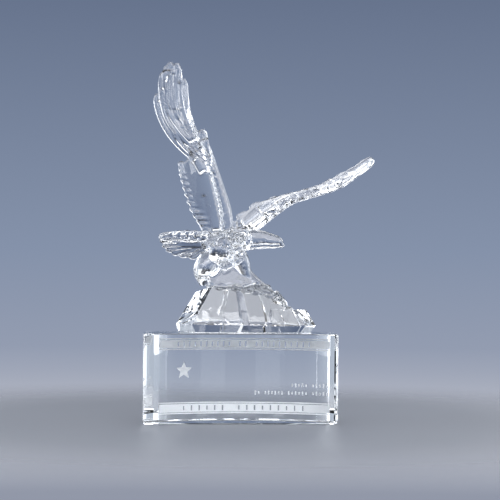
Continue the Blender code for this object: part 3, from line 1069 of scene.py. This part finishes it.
    def add_to(self, clay: Clay) -> None:
        """Lay the whole body into the clay.

        Args:
            clay: what the body is laid into.
        """
        self.torso(clay)
        self.chest(clay)
        self.head(clay)
        self.tail(clay)
        aim = Vector((0.78, -0.62, 0)).normalized()
        self.leg(clay, [Vector((-84, -8, 290)), Vector((-126, -30, 214)), Vector((-116, -40, 160))],
                 (34, 44, 47, 42, 26, 16), aim)
        self.leg(clay, [Vector((-2, -8, 290)), Vector((36, 8, 214)), Vector((94, 18, 166))],
                 (34, 34, 28, 21, 17), aim)
        clay.limb(smooth_path([Vector((-40, 10, 270)), Vector((-34, 8, 200)),
                               Vector((-18, 4, 150))], 12), (50, 78, 108), flat=0.3)


# The rock


@dataclass
class Rock:
    """The cast lump under the eagle and the flat facets ground round it.

    Attributes:
        lumps: each swelling as a centre and three radii.
        facets: the main grind as bearing, distance and lean of each facet, in degrees and units.
        step_facets: the same for the lower block at the right.
        front_foot: height of the lower edges of the facets in front.
        back_foot: the same behind, where the rock is ground nearly down to the plinth.
        undercut: how far each facet turns in below its foot, in degrees.
        arris: width of the small flat that is left on every ground edge.
        middle_facets: the grinds of the block in front of the main one.
        middle_sink: how much lower that block's edges are than the named heights.
        step_sink: the same for the lower block.
        top: height above which nothing is ground.
        step_top: height of the lower block's flat top.
        blank: size of the block that each polished form is ground from.
        collar_size: the block that grinding takes away, before the forms are cut from it.
        collar_rise: height of its middle.
        cast_line: height above which the top keeps its rough cast skin.
        cast_fade: height over which the roughness sets in below it.
        calm_side: place at the left beyond which the rock is smooth.
        pebbles: spacing and height of each scale of the roughness.
    """

    lumps: Sequence[tuple[tuple[float, float, float], tuple[float, float, float]]] = (
        ((-30, 0, 18), (262, 165, 146)), ((70, 8, 60), (120, 95, 112)),
        ((-96, -14, 84), (84, 78, 76)), ((225, 0, 20), (150, 150, 80)),
        ((150, -6, 96), (44, 50, 62)))
    facets: Sequence[tuple[float, float, float]] = (
        (-5, 116, 21), (-17, 124, 22), (-62, 186, 31), (-125, 204, 24), (-168, 118, 20),
        (180, 112, 18), (135, 150, 20), (62, 60, 16))
    middle_facets: Sequence[tuple[float, float, float]] = (
        (9, 116, 20), (-38, 62, 8), (-100, 60, 12), (172, 118, 20), (120, 190, 26), (78, 262, 41))
    step_facets: Sequence[tuple[float, float, float]] = (
        (16, 144, 18), (52, 232, 28), (80, 290, 32), (110, 286, 26), (160, 143, 20), (-90, -120, 0))
    front_foot: float = 28
    back_foot: float = 9
    undercut: float = 38
    arris: float = 2.2
    middle_sink: float = 1.3
    step_sink: float = 3.5
    top: float = 190
    step_top: float = 90
    blank: float = 1200
    collar_size: tuple[float, float, float] = (900, 600, 320)
    collar_rise: float = 10
    cast_line: float = 182
    cast_fade: float = 30
    calm_side: float = -130
    pebbles: Sequence[tuple[float, float]] = ((26, 7), (13, 2.4))

    def add_to(self, clay: Clay) -> None:
        """Lay the lump into the clay."""
        for centre, radii in self.lumps:
            clay.ball(Vector(centre), radii)

    def pebble(self, place: Vector) -> float:
        """Height of the roughness of the cast rock, which is smooth at the far left.

        Args:
            place: a point of the skin, in figure units.

        Returns:
            The height there.
        """
        share = min(1.0, max(0.0, (self.cast_line - place.z) / self.cast_fade))
        if share == 0 or place.x <= self.calm_side:
            return 0.0
        return sum(noise.noise(place / spacing) * lift for spacing, lift in self.pebbles) * share

    def polished_form(
        self, name: str, facets: Iterable[tuple[float, float, float]], sink: float, top: float
    ) -> bpy.types.Object:
        """A block bounded by flat facets, with an undercut below each.

        Args:
            name: the object's name.
            facets: bearing, distance and lean of each.
            sink: how much lower than the named heights the facets' feet are.
            top: height of the flat top.

        Returns:
            The convex block, in figure units.
        """
        bm = bmesh.new()
        bmesh.ops.create_cube(bm, size=self.blank)
        planes = [(Vector((0, 0, 0)), Vector((0, 0, -1))),
                  (Vector((0, 0, top)), Vector((0.03, 0, 1)))]
        for bearing, distance, lean in facets:
            way = Vector((math.sin(math.radians(bearing)), -math.cos(math.radians(bearing)), 0))
            foot = (self.front_foot if way.y < 0.3 else self.back_foot) - sink
            edge = way * distance + Vector((0, 0, foot))
            for slope in (lean, -self.undercut):
                rise = Vector((0, 0, math.sin(math.radians(slope))))
                planes.append((edge, way * math.cos(math.radians(slope)) + rise))
        for place, outward in planes:
            whole = list(bm.verts) + list(bm.edges) + list(bm.faces)
            bmesh.ops.bisect_plane(bm, geom=whole, plane_co=place, plane_no=outward,
                                   clear_outer=True)
            bmesh.ops.holes_fill(bm, edges=[edge for edge in bm.edges if edge.is_boundary])
            bmesh.ops.remove_doubles(bm, verts=bm.verts, dist=0.4)
        bmesh.ops.dissolve_limit(bm, angle_limit=math.radians(0.3), verts=bm.verts, edges=bm.edges)
        bmesh.ops.recalc_face_normals(bm, faces=bm.faces)
        sharp = [edge for edge in bm.edges if edge.calc_face_angle() > math.radians(12)
                 and max(vert.co.z for vert in edge.verts) > 2]
        bmesh.ops.bevel(bm, geom=sharp, offset=self.arris, offset_type="OFFSET", segments=1,
                        affect="EDGES", clamp_overlap=True)
        bmesh.ops.recalc_face_normals(bm, faces=bm.faces)
        return mesh_object(bm, name)

    def collar(self) -> bpy.types.Object:
        """Everything round and under the rock that grinding takes away.

        Returns:
            The cutting shape, in figure units.
        """
        main = self.polished_form("rock_facets", self.facets, 0.0, self.top)
        middle = self.polished_form("rock_middle", self.middle_facets, self.middle_sink, self.top)
        step = self.polished_form("rock_step", self.step_facets, self.step_sink, self.step_top)
        bm = bmesh.new()
        bmesh.ops.create_cube(bm, size=1.0, matrix=Matrix.Translation((0, 0, self.collar_rise))
                              @ Matrix.Diagonal((*self.collar_size, 1)))
        return cut(mesh_object(bm, "grinding_collar"), [main, middle, step])


@dataclass
class Eagle:
    """The eagle and its rock, cast in one piece.

    Attributes:
        cast: finish of the cast skin.
        ground: finish of the ground and polished facets.
        height: from the rock's underside to the tip of the raised wing.
        side_shift: how far the rock's middle stands beside the plinth's.
        seat_gap: the film of air between the rock and the plinth.
        even_rounds: rounds of evening before the finest relief is put in.
        last_rounds: rounds of evening after it.
        rock: the rock under the eagle.
        body: the eagle without its wings.
        wings: the raised wing and the spread one.
    """

    cast: Crystal
    ground: Crystal
    height: float = 0.1877
    side_shift: float = -0.0013
    seat_gap: float = 0.0003
    even_rounds: int = 24
    last_rounds: int = 2
    rock: Rock = field(default_factory=Rock)
    body: Body = field(default_factory=Body)
    wings: Sequence[Wing] = field(default_factory=lambda: (raised_wing(), spread_wing()))

    def scaled(self, thing: bpy.types.Object, foot: float) -> bpy.types.Object:
        """Bring a form from figure units to its real size and place.

        Args:
            thing: the form in figure units.
            foot: height of the plinth's top.

        Returns:
            The same object.
        """
        place = Matrix.Translation((self.side_shift, 0, foot + self.seat_gap))
        thing.data.transform(place @ Matrix.Scale(self.height / 1000, 4))
        return thing

    def build(self, foot: float) -> bpy.types.Object:
        """Model the figure.

        Args:
            foot: height of the plinth's top.

        Returns:
            The finished piece.
        """
        clay = Clay()
        self.rock.add_to(clay)
        self.body.add_to(clay)
        for wing in self.wings:
            wing.add_to(clay)
        figure = self.scaled(clay.melted("eagle_and_rock", self.carve), foot)
        collar = self.scaled(self.rock.collar(), foot)
        dress([figure], [collar], self.cast, self.ground)
        cut(figure, [collar])
        self.shade(figure)
        return figure

    def carve(self, bm: bmesh.types.BMesh) -> None:
        """Put the finest relief into the skin of the whole figure.

        Args:
            bm: the melted skin, in figure units.
        """
        skin = Skin(bm)
        skin.even_out(self.even_rounds)
        skin.raise_by(self.rock.pebble)
        skin.raise_by(self.body.shingle)
        skin.raise_by(self.body.plumage)
        for groove in self.body.grooves():
            skin.press(groove)
        for wing in self.wings:
            wing.press_marks(skin)
        skin.even_out(self.last_rounds)
        skin.write()

    def shade(self, figure: bpy.types.Object) -> None:
        """Shade the cast skin smooth and the ground facets flat, with crisp edges between.

        Args:
            figure: the finished figure, whose ground facets have a slot of their own.
        """
        bm = bmesh.new()
        bm.from_mesh(figure.data)
        for face in bm.faces:
            face.smooth = face.material_index == 0
        for edge in bm.edges:
            slots = {face.material_index for face in edge.link_faces}
            edge.smooth = len(slots) == 1
        bm.to_mesh(figure.data)
        bm.free()


# The plinth


class Row(Enum):
    """The small rows of strokes on the plinth, by how many places each has."""

    LOWER = 22
    UPPER = 11


@dataclass
class Plinth:
    """The clear block, flat in front and curved behind, with sandblasting on its back.

    Attributes:
        clear: finish of the lapped faces.
        frost: finish of what is sandblasted.
        width: from side to side.
        height: from the table to the rock.
        end_depth: depth of the flat ends.
        back_bulge: how far the back swells beyond them.
        chamfer: width of the small flat ground on its edges.
        arc_steps: flat strips that the curved back is drawn with.
        engraving: depth of the sandblasting.
        band_height: height of the two frosted bands.
        band_line: width of the fine lines above and below each band.
        band_line_gap: clear gap between a band and its lines.
        band_margin: from the block's top and bottom to the bands' lines.
        band_left_gap: from the block's left end to the bands.
        band_right_gap: from the bands to its right end.
        stroke_width: width of one stroke.
        stroke_height: height of the strokes that stand clear in the bands.
        small_stroke_height: height of the frosted strokes in the small rows.
        small_row_step: from one small row to the next.
        small_row_rise: height of the lower small row.
        row_end_gap: from the block's right end to the small rows.
        star_radius: from the middle of the frosted star to its points.
        star_side: how far the star stands beside the block's middle.
        star_rise: height of its middle.
        star_waist: reach of its inner corners, as a share of the points'.
        upper_groups: how many strokes stand in each group of the upper band.
        upper_step: from one of them to the next.
        upper_gap: extra space between its groups.
        lower_groups: the same for the lower band.
        lower_step: from one of its strokes to the next.
        lower_gap: extra space between its groups.
        low_stroke: height of every third stroke of a band, as a share of the others'.
        small_step: from one small stroke to the next, in stroke widths.
        small_width: width of a small stroke, in stroke widths.
        small_low: height of every second small stroke, as a share of the others'.
        word: places in a group of small strokes, one of which stays bare.
    """

    clear: Crystal
    frost: Etching
    width: float = 0.133
    height: float = 0.0615
    end_depth: float = 0.025
    back_bulge: float = 0.031
    chamfer: float = 0.0009
    arc_steps: int = 180
    engraving: float = 0.0004
    band_height: float = 0.0056
    band_line: float = 0.0008
    band_line_gap: float = 0.0005
    band_margin: float = 0.0065
    band_left_gap: float = 0.0118
    band_right_gap: float = 0.0037
    stroke_width: float = 0.0011
    stroke_height: float = 0.0036
    small_stroke_height: float = 0.0026
    small_row_step: float = 0.0055
    small_row_rise: float = 0.0190
    row_end_gap: float = 0.0050
    star_radius: float = 0.0062
    star_side: float = -0.0375
    star_rise: float = 0.0345
    star_waist: float = 0.45
    upper_groups: Sequence[int] = (10, 2, 10)
    upper_step: float = 0.0040
    upper_gap: float = 0.0035
    lower_groups: Sequence[int] = (6, 9)
    lower_step: float = 0.0055
    lower_gap: float = 0.0060
    low_stroke: float = 0.8
    small_step: float = 2.1
    small_width: float = 0.8
    small_low: float = 0.7
    word: int = 7

    def __post_init__(self) -> None:
        """Work out the curved back from the sizes."""
        half = self.width / 2
        self.front_y = -(self.end_depth + self.back_bulge) / 2
        self.radius = (half ** 2 + self.back_bulge ** 2) / (2 * self.back_bulge)
        self.centre_y = -self.front_y - self.radius

    def back_angle(self, x: float) -> float:
        """The angle round the curved back at which it is x to the side of the middle."""
        return math.asin(max(-1.0, min(1.0, x / self.radius)))

    def back_point(self, angle: float, radius: float) -> tuple[float, float]:
        """A point at an angle round the axis of the curved back."""
        return (radius * math.sin(angle), self.centre_y + radius * math.cos(angle))

    def back_arc(self, start: float, end: float, radius: float) -> list[tuple[float, float]]:
        """Points along the curved back from one angle to another."""
        return [self.back_point(start + (end - start) * i / self.arc_steps, radius)
                for i in range(self.arc_steps + 1)]

    def upright(
        self, name: str, outline: Sequence[tuple[float, float]], low: float, high: float
    ) -> bpy.types.Object:
        """An upright block of a flat outline between two heights.

        Args:
            name: the object's name.
            outline: corners in order.
            low: height of its foot.
            high: height of its top.

        Returns:
            The closed block.
        """
        bm = bmesh.new()
        base = bm.faces.new([bm.verts.new((x, y, low)) for x, y in outline])
        grown = bmesh.ops.extrude_face_region(bm, geom=[base])
        raised = [item for item in grown["geom"] if isinstance(item, bmesh.types.BMVert)]
        bmesh.ops.translate(bm, verts=raised, vec=(0, 0, high - low))
        bmesh.ops.recalc_face_normals(bm, faces=bm.faces)
        return mesh_object(bm, name)

    def band(self, name: str, low: float, high: float) -> bpy.types.Object:
        """A cutter for one curved band on the back.

        Args:
            name: the object's name.
            low: height of the band's foot.
            high: height of its top.

        Returns:
            The cutter.
        """
        start = self.back_angle(-self.width / 2 + self.band_left_gap)
        end = self.back_angle(self.width / 2 - self.band_right_gap)
        inner = self.back_arc(start, end, self.radius - self.engraving)
        outer = self.back_arc(end, start, self.radius + 3 * self.engraving)
        return self.upright(name, inner + outer, low, high)

    def strokes(
        self, name: str, places: Iterable[tuple[float, float, float]], width: float, reach: float
    ) -> bpy.types.Object:
        """Small boxes that stand through the curved back.

        Args:
            name: the object's name.
            places: sideways place, height of the middle and length of each.
            width: width of each.
            reach: depth of each, half of it inside the block.

        Returns:
            All of them as one object.
        """
        bm = bmesh.new()
        for x, z, length in places:
            angle = self.back_angle(x)
            matrix = (Matrix.Translation((*self.back_point(angle, self.radius), z))
                      @ Matrix.Rotation(-angle, 4, "Z")
                      @ Matrix.Diagonal((width, reach, length, 1.0)))
            bmesh.ops.create_cube(bm, size=1.0, matrix=matrix)
        return mesh_object(bm, name)

    def engraved_band(
        self, name: str, middle: float, groups: Sequence[int], step: float, gap: float
    ) -> list[bpy.types.Object]:
        """A band with strokes left standing in it and a fine line above and below.

        Args:
            name: the object's name.
            middle: height of the band's middle.
            groups: how many strokes stand in each group.
            step: from one stroke to the next.
            gap: extra space between groups.

        Returns:
            The three cutters.
        """
        places = []
        x = 0.0
        for size in groups:
            for _ in range(size):
                places.append(x)
                x += step
            x += gap
        centre = (places[0] + places[-1] + self.band_right_gap - self.band_left_gap) / 2
        standing = [(place - centre, middle,
                     self.stroke_height * (1.0 if i % 3 else self.low_stroke))
                    for i, place in enumerate(places)]
        main = self.band(name, middle - self.band_height / 2, middle + self.band_height / 2)
        cut(main, [self.strokes(name + "_strokes", standing, self.stroke_width,
                                10 * self.engraving)])
        edge = self.band_height / 2 + self.band_line_gap
        return [main,
                self.band(name + "_above", middle + edge, middle + edge + self.band_line),
                self.band(name + "_below", middle - edge - self.band_line, middle - edge)]

    def small_rows(self) -> bpy.types.Object:
        """Two rows of small frosted strokes at the right of the back.

        Returns:
            One cutter for both rows.
        """
        places = []
        right = self.width / 2 - self.row_end_gap
        for number, row in enumerate((Row.LOWER, Row.UPPER)):
            for i in range(row.value):
                if i % self.word != self.word - 2:
                    places.append((right - i * self.small_step * self.stroke_width,
                                   self.small_row_rise + number * self.small_row_step,
                                   self.small_stroke_height
                                   * (1.0 if i % 2 else self.small_low)))
        return self.strokes("small_strokes", places, self.stroke_width * self.small_width,
                            2 * self.engraving)

    def star(self) -> bpy.types.Object:
        """A plain five-pointed star at the left of the back.

        Returns:
            Its cutter.
        """
        bm = bmesh.new()
        corners = []
        for k in range(10):
            reach = self.star_radius * (self.star_waist if k % 2 else 1.0)
            corners.append(bm.verts.new((reach * math.sin(math.pi * k / 5), -self.engraving,
                                         reach * math.cos(math.pi * k / 5))))
        grown = bmesh.ops.extrude_face_region(bm, geom=[bm.faces.new(corners)])
        raised = [item for item in grown["geom"] if isinstance(item, bmesh.types.BMVert)]
        bmesh.ops.translate(bm, verts=raised, vec=(0, 4 * self.engraving, 0))
        angle = self.back_angle(self.star_side)
        place = (*self.back_point(angle, self.radius), self.star_rise)
        matrix = Matrix.Translation(place) @ Matrix.Rotation(-angle, 4, "Z")
        bmesh.ops.transform(bm, verts=bm.verts, matrix=matrix)
        bmesh.ops.recalc_face_normals(bm, faces=bm.faces)
        return mesh_object(bm, "star")

    def build(self) -> bpy.types.Object:
        """Model the plinth.

        Returns:
            The finished block.
        """
        half = self.width / 2
        arc = self.back_arc(self.back_angle(-half), self.back_angle(half), self.radius)
        outline = [(half, self.front_y), (-half, self.front_y)] + arc
        block = self.upright("lens_block", outline, 0.0, self.height)
        edge = block.modifiers.new("Ground edges", "BEVEL")
        edge.width = self.chamfer
        edge.segments = 1
        edge.limit_method = "ANGLE"
        edge.angle_limit = math.radians(30)
        settled(block)
        half_band = self.band_height / 2
        cutters = self.engraved_band(
            "upper_band", self.height - self.band_margin - half_band + self.band_line,
            self.upper_groups, self.upper_step, self.upper_gap)
        cutters += self.engraved_band(
            "lower_band", self.band_margin + half_band - self.band_line,
            self.lower_groups, self.lower_step, self.lower_gap)
        cutters += [self.small_rows(), self.star()]
        dress([block], cutters, self.clear, self.frost)
        cut(block, cutters)
        block.data.shade_smooth()
        block.data.set_sharp_from_angle(angle=math.radians(20))
        return block


# The studio


@dataclass(frozen=True)
class Softbox:
    """One soft studio light.

    Attributes:
        name: what it is called.
        place: where it stands.
        target: what it looks at.
        size: its width and height.
        radiance: how bright its face is, where paper white under the key light is 1.
        colour: sRGB hex.
    """

    name: str
    place: tuple[float, float, float]
    target: tuple[float, float, float]
    size: tuple[float, float]
    radiance: float
    colour: str = "FFFFFF"

    def add(self) -> bpy.types.Object:
        """Put the light in the scene.

        Returns:
            The lamp.
        """
        light = bpy.data.lights.new(self.name, "AREA")
        light.shape = "RECTANGLE"
        light.size, light.size_y = self.size
        light.energy = self.radiance * self.size[0] * self.size[1] * math.pi
        light.color = linear(self.colour)[:3]
        lamp = bpy.data.objects.new(self.name, light)
        bpy.context.scene.collection.objects.link(lamp)
        lamp.location = self.place
        way = Vector(self.target) - Vector(self.place)
        lamp.rotation_euler = way.to_track_quat("-Z", "Y").to_euler()
        lamp.visible_camera = False
        return lamp


@dataclass
class Studio:
    """Backdrop, floor, lights and camera.

    Attributes:
        azimuth: how far the camera stands round to the left, in degrees.
        distance: from the award's middle to the camera.
        eye_height: height of the lens.
        aim: how far the camera is slid to the right.
        roll: how far the camera is turned about its own axis, in degrees.
        focal_pixels: focal length in pixels of a 500 pixel frame.
        floor_gap: the film of air under the award.
        sheet: sRGB hex colour of the floor, which the strong light makes pale.
        sheet_radius: from the floor's middle to its rim.
        sheet_roughness: how matt it is.
        sheet_fade: distances from its middle over which it fades into the backdrop.
        backdrop: sRGB hex colours by elevation in degrees.
        tent: sRGB hex colour of the white cloth that hangs at both sides of the backdrop.
        tent_span: bearings from the view's axis where the cloth starts and is full, in degrees.
        room: sRGB hex colour of the dim room behind the camera.
        room_span: bearings where the cloth gives way to the room, in degrees.
        room_rise: elevations over which the cloth gives way to the room, in degrees.
        softboxes: the lights.
    """

    azimuth: float = -5.0
    distance: float = 1.36
    eye_height: float = 0.1185
    aim: float = 0.0077
    roll: float = 0.45
    focal_pixels: float = 1960.0
    floor_gap: float = 0.0003
    sheet: str = "62666F"
    sheet_radius: float = 0.6
    sheet_roughness: float = 0.45
    sheet_fade: tuple[float, float] = (0.16, 0.42)
    backdrop: Sequence[tuple[float, str]] = (
        (-30.0, "8890A4"), (-7.0, "9298A8"), (-5.2, "C8CBD5"), (-4.6, "B4B8C4"),
        (-3.0, "949DB1"), (0.0, "8592AA"), (7.3, "67748D"), (12.0, "4E586C"), (17.0, "20242C"),
        (22.0, "20242C"), (30.0, "D8DCE4"), (62.0, "FFFFFF"))
    tent: str = "BCC4D0"
    tent_span: tuple[float, float] = (17.0, 48.0)
    room: str = "4A5262"
    room_span: tuple[float, float] = (92.0, 118.0)
    room_rise: tuple[float, float] = (6.0, 18.0)
    softboxes: Sequence[Softbox] = (
        Softbox("top_softbox", (0.0, 0.3, 1.1), (0, 0, 0.1), (1.0, 0.7), 2.6),
        Softbox("left_softbox", (-1.0, 0.0, 0.35), (0, 0, 0.15), (0.25, 0.9), 4.0),
        Softbox("right_softbox", (1.0, 0.1, 0.35), (0, 0, 0.15), (0.25, 0.9), 4.0),
        Softbox("left_panel", (-1.1, -0.1, 0.5), (0, 0, 0.15), (1.7, 1.1), 0.9),
        Softbox("right_panel", (1.1, 0.0, 0.5), (0, 0, 0.15), (1.7, 1.1), 0.9),
        Softbox("front_panel", (0.1, -1.4, 1.1), (0, 0, 0.1), (2.4, 1.2), 5.0),
        Softbox("front_left_panel", (-1.0, -1.1, 0.3), (0, 0, 0.1), (1.2, 0.9), 0.8),
        Softbox("front_right_panel", (1.0, -1.1, 0.3), (0, 0, 0.1), (1.2, 0.9), 0.8),
        Softbox("back_left_panel", (-0.66, 1.02, 0.66), (0, 0, 0.15), (0.42, 0.62), 0.9),
        Softbox("back_right_panel", (0.62, 1.05, 0.66), (0, 0, 0.15), (0.42, 0.62), 0.9),
        Softbox("back_top_panel", (0.05, 1.1, 0.72), (0, 0, 0.12), (1.0, 0.3), 1.2),
    )

    def camera(self) -> None:
        """Place the camera at the photograph's viewing angle."""
        turn = math.radians(self.azimuth)
        right = Vector((math.cos(turn), math.sin(turn), 0))
        back = Vector((math.sin(turn), -math.cos(turn), 0))
        lens = bpy.data.cameras.new("camera")
        lens.sensor_width = 36.0
        lens.lens = self.focal_pixels / 500 * lens.sensor_width
        lens.clip_start = 0.01
        seen = bpy.data.objects.new("camera", lens)
        bpy.context.scene.collection.objects.link(seen)
        seen.location = right * self.aim + back * self.distance + Vector((0, 0, self.eye_height))
        level = (-back).to_track_quat("-Z", "Y")
        tilt = Matrix.Rotation(math.radians(self.roll), 4, "Z")
        seen.rotation_euler = (level.to_matrix().to_4x4() @ tilt).to_euler()
        bpy.context.scene.camera = seen

    def world(self) -> None:
        """Grey-blue paper behind, lightest at its foot, pale cloth beside it and a dim room."""
        world = bpy.data.worlds.new("backdrop")
        bpy.context.scene.world = world
        world.use_nodes = True
        tree = world.node_tree
        place = add_node(tree, "ShaderNodeTexCoord")
        parts = add_node(tree, "ShaderNodeSeparateXYZ",
                         links={"Vector": place.outputs["Generated"]})
        angle = add_node(tree, "ShaderNodeMath", {"operation": "ARCSINE"},
                         links={0: parts.outputs["Z"]})
        share = add_node(tree, "ShaderNodeMapRange",
                         values={"From Min": -math.pi / 2, "From Max": math.pi / 2},
                         links={"Value": angle.outputs[0]})
        ramp = add_node(tree, "ShaderNodeValToRGB", links={"Fac": share.outputs["Result"]})
        stops = ramp.color_ramp.elements
        for number, (degrees, code) in enumerate(self.backdrop):
            stop = stops[number] if number < 2 else stops.new(1.0)
            stop.position = (degrees + 90) / 180
            stop.color = linear(code)
        spun = add_node(tree, "ShaderNodeVectorRotate", {"rotation_type": "Z_AXIS"},
                        {"Angle": -math.radians(self.azimuth)},
                        {"Vector": place.outputs["Generated"]})
        turned = add_node(tree, "ShaderNodeSeparateXYZ", links={"Vector": spun.outputs["Vector"]})
        bearing = add_node(tree, "ShaderNodeMath", {"operation": "ARCTAN2"},
                           links={0: turned.outputs["X"], 1: turned.outputs["Y"]})
        aside = add_node(tree, "ShaderNodeMath", {"operation": "ABSOLUTE"},
                         links={0: bearing.outputs[0]})
        hung = smooth_share(tree, *map(math.radians, self.tent_span), aside.outputs[0])
        mixed = add_node(tree, "ShaderNodeMix", {"data_type": "RGBA"},
                         links={0: hung, 6: ramp.outputs["Color"]})
        mixed.inputs[7].default_value = linear(self.tent)
        behind = smooth_share(tree, *map(math.radians, self.room_span), aside.outputs[0])
        above = smooth_share(tree, *map(math.radians, self.room_rise), angle.outputs[0])
        dim = add_node(tree, "ShaderNodeMath", {"operation": "MULTIPLY"},
                       links={0: behind, 1: above})
        whole = add_node(tree, "ShaderNodeMix", {"data_type": "RGBA"},
                         links={0: dim.outputs[0], 6: mixed.outputs[2]})
        whole.inputs[7].default_value = linear(self.room)
        tree.links.new(whole.outputs[2], tree.nodes["Background"].inputs["Color"])

    def floor(self) -> None:
        """A pale round sheet whose rim fades into the backdrop."""
        bm = bmesh.new()
        bmesh.ops.create_circle(bm, cap_ends=True, segments=96, radius=self.sheet_radius)
        sheet = mesh_object(bm, "floor")
        sheet.location.z = -self.floor_gap
        paper = bpy.data.materials.new("Matt white acrylic sheet")
        paper.use_nodes = True
        tree = paper.node_tree
        shader = tree.nodes["Principled BSDF"]
        shader.inputs["Roughness"].default_value = self.sheet_roughness
        shader.inputs["Base Color"].default_value = linear(self.sheet)
        place = add_node(tree, "ShaderNodeTexCoord")
        away = add_node(tree, "ShaderNodeVectorMath", {"operation": "LENGTH"},
                        links={0: place.outputs["Object"]})
        fade = smooth_share(tree, *self.sheet_fade, away.outputs["Value"])
        clear = add_node(tree, "ShaderNodeBsdfTransparent")
        mix = add_node(tree, "ShaderNodeMixShader", links={
            0: fade, 1: shader.outputs["BSDF"], 2: clear.outputs["BSDF"]})
        tree.links.new(mix.outputs["Shader"], tree.nodes["Material Output"].inputs["Surface"])
        sheet.data.materials.append(paper)

    def build(self) -> None:
        """Set up the whole studio."""
        bpy.context.scene.view_settings.view_transform = "Standard"
        self.camera()
        self.world()
        self.floor()
        for box in self.softboxes:
            box.add()
        log.info("studio ready with %d softboxes", len(self.softboxes))


def claim(piece: bpy.types.Object, node: str) -> None:
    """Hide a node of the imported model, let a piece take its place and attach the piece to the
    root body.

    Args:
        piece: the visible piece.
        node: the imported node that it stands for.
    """
    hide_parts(node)
    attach(piece, "root")
    log.info("%s: %d faces", piece.name, len(piece.data.polygons))


def main() -> None:
    """Build the award and the studio round it."""
    logging.basicConfig(level=logging.INFO, format="%(message)s")
    # Cast crystal: poured into a mould and fire-polished, so it is clear but faintly rippled.
    cast = Crystal("Cast fire-polished crystal", "F7F9FC", 0.0, 1.52, ripple_mm=2.2, ripple=0.004)
    # Optical crystal: lapped and polished flat, so it is perfectly clear and sharp-edged.
    ground = Crystal("Ground and polished crystal", "F7F9FC", 0.0, 1.52)
    clear = Crystal("Polished optical crystal", "F3F7FB", 0.0, 1.517)
    # Sandblasting breaks the surface up into pits that look even and white.
    frost = Etching("Sandblasted optical crystal", "FCFDFF", 1.0, grit_mm=0.25)

    plinth = Plinth(clear, frost)
    block = plinth.build()
    claim(block, "crystal_plinth")

    eagle = Eagle(cast, ground)
    figure = eagle.build(plinth.height)
    claim(figure, "crystal_eagle")

    Studio().build()

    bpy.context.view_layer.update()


if __name__ == "__main__":
    main()
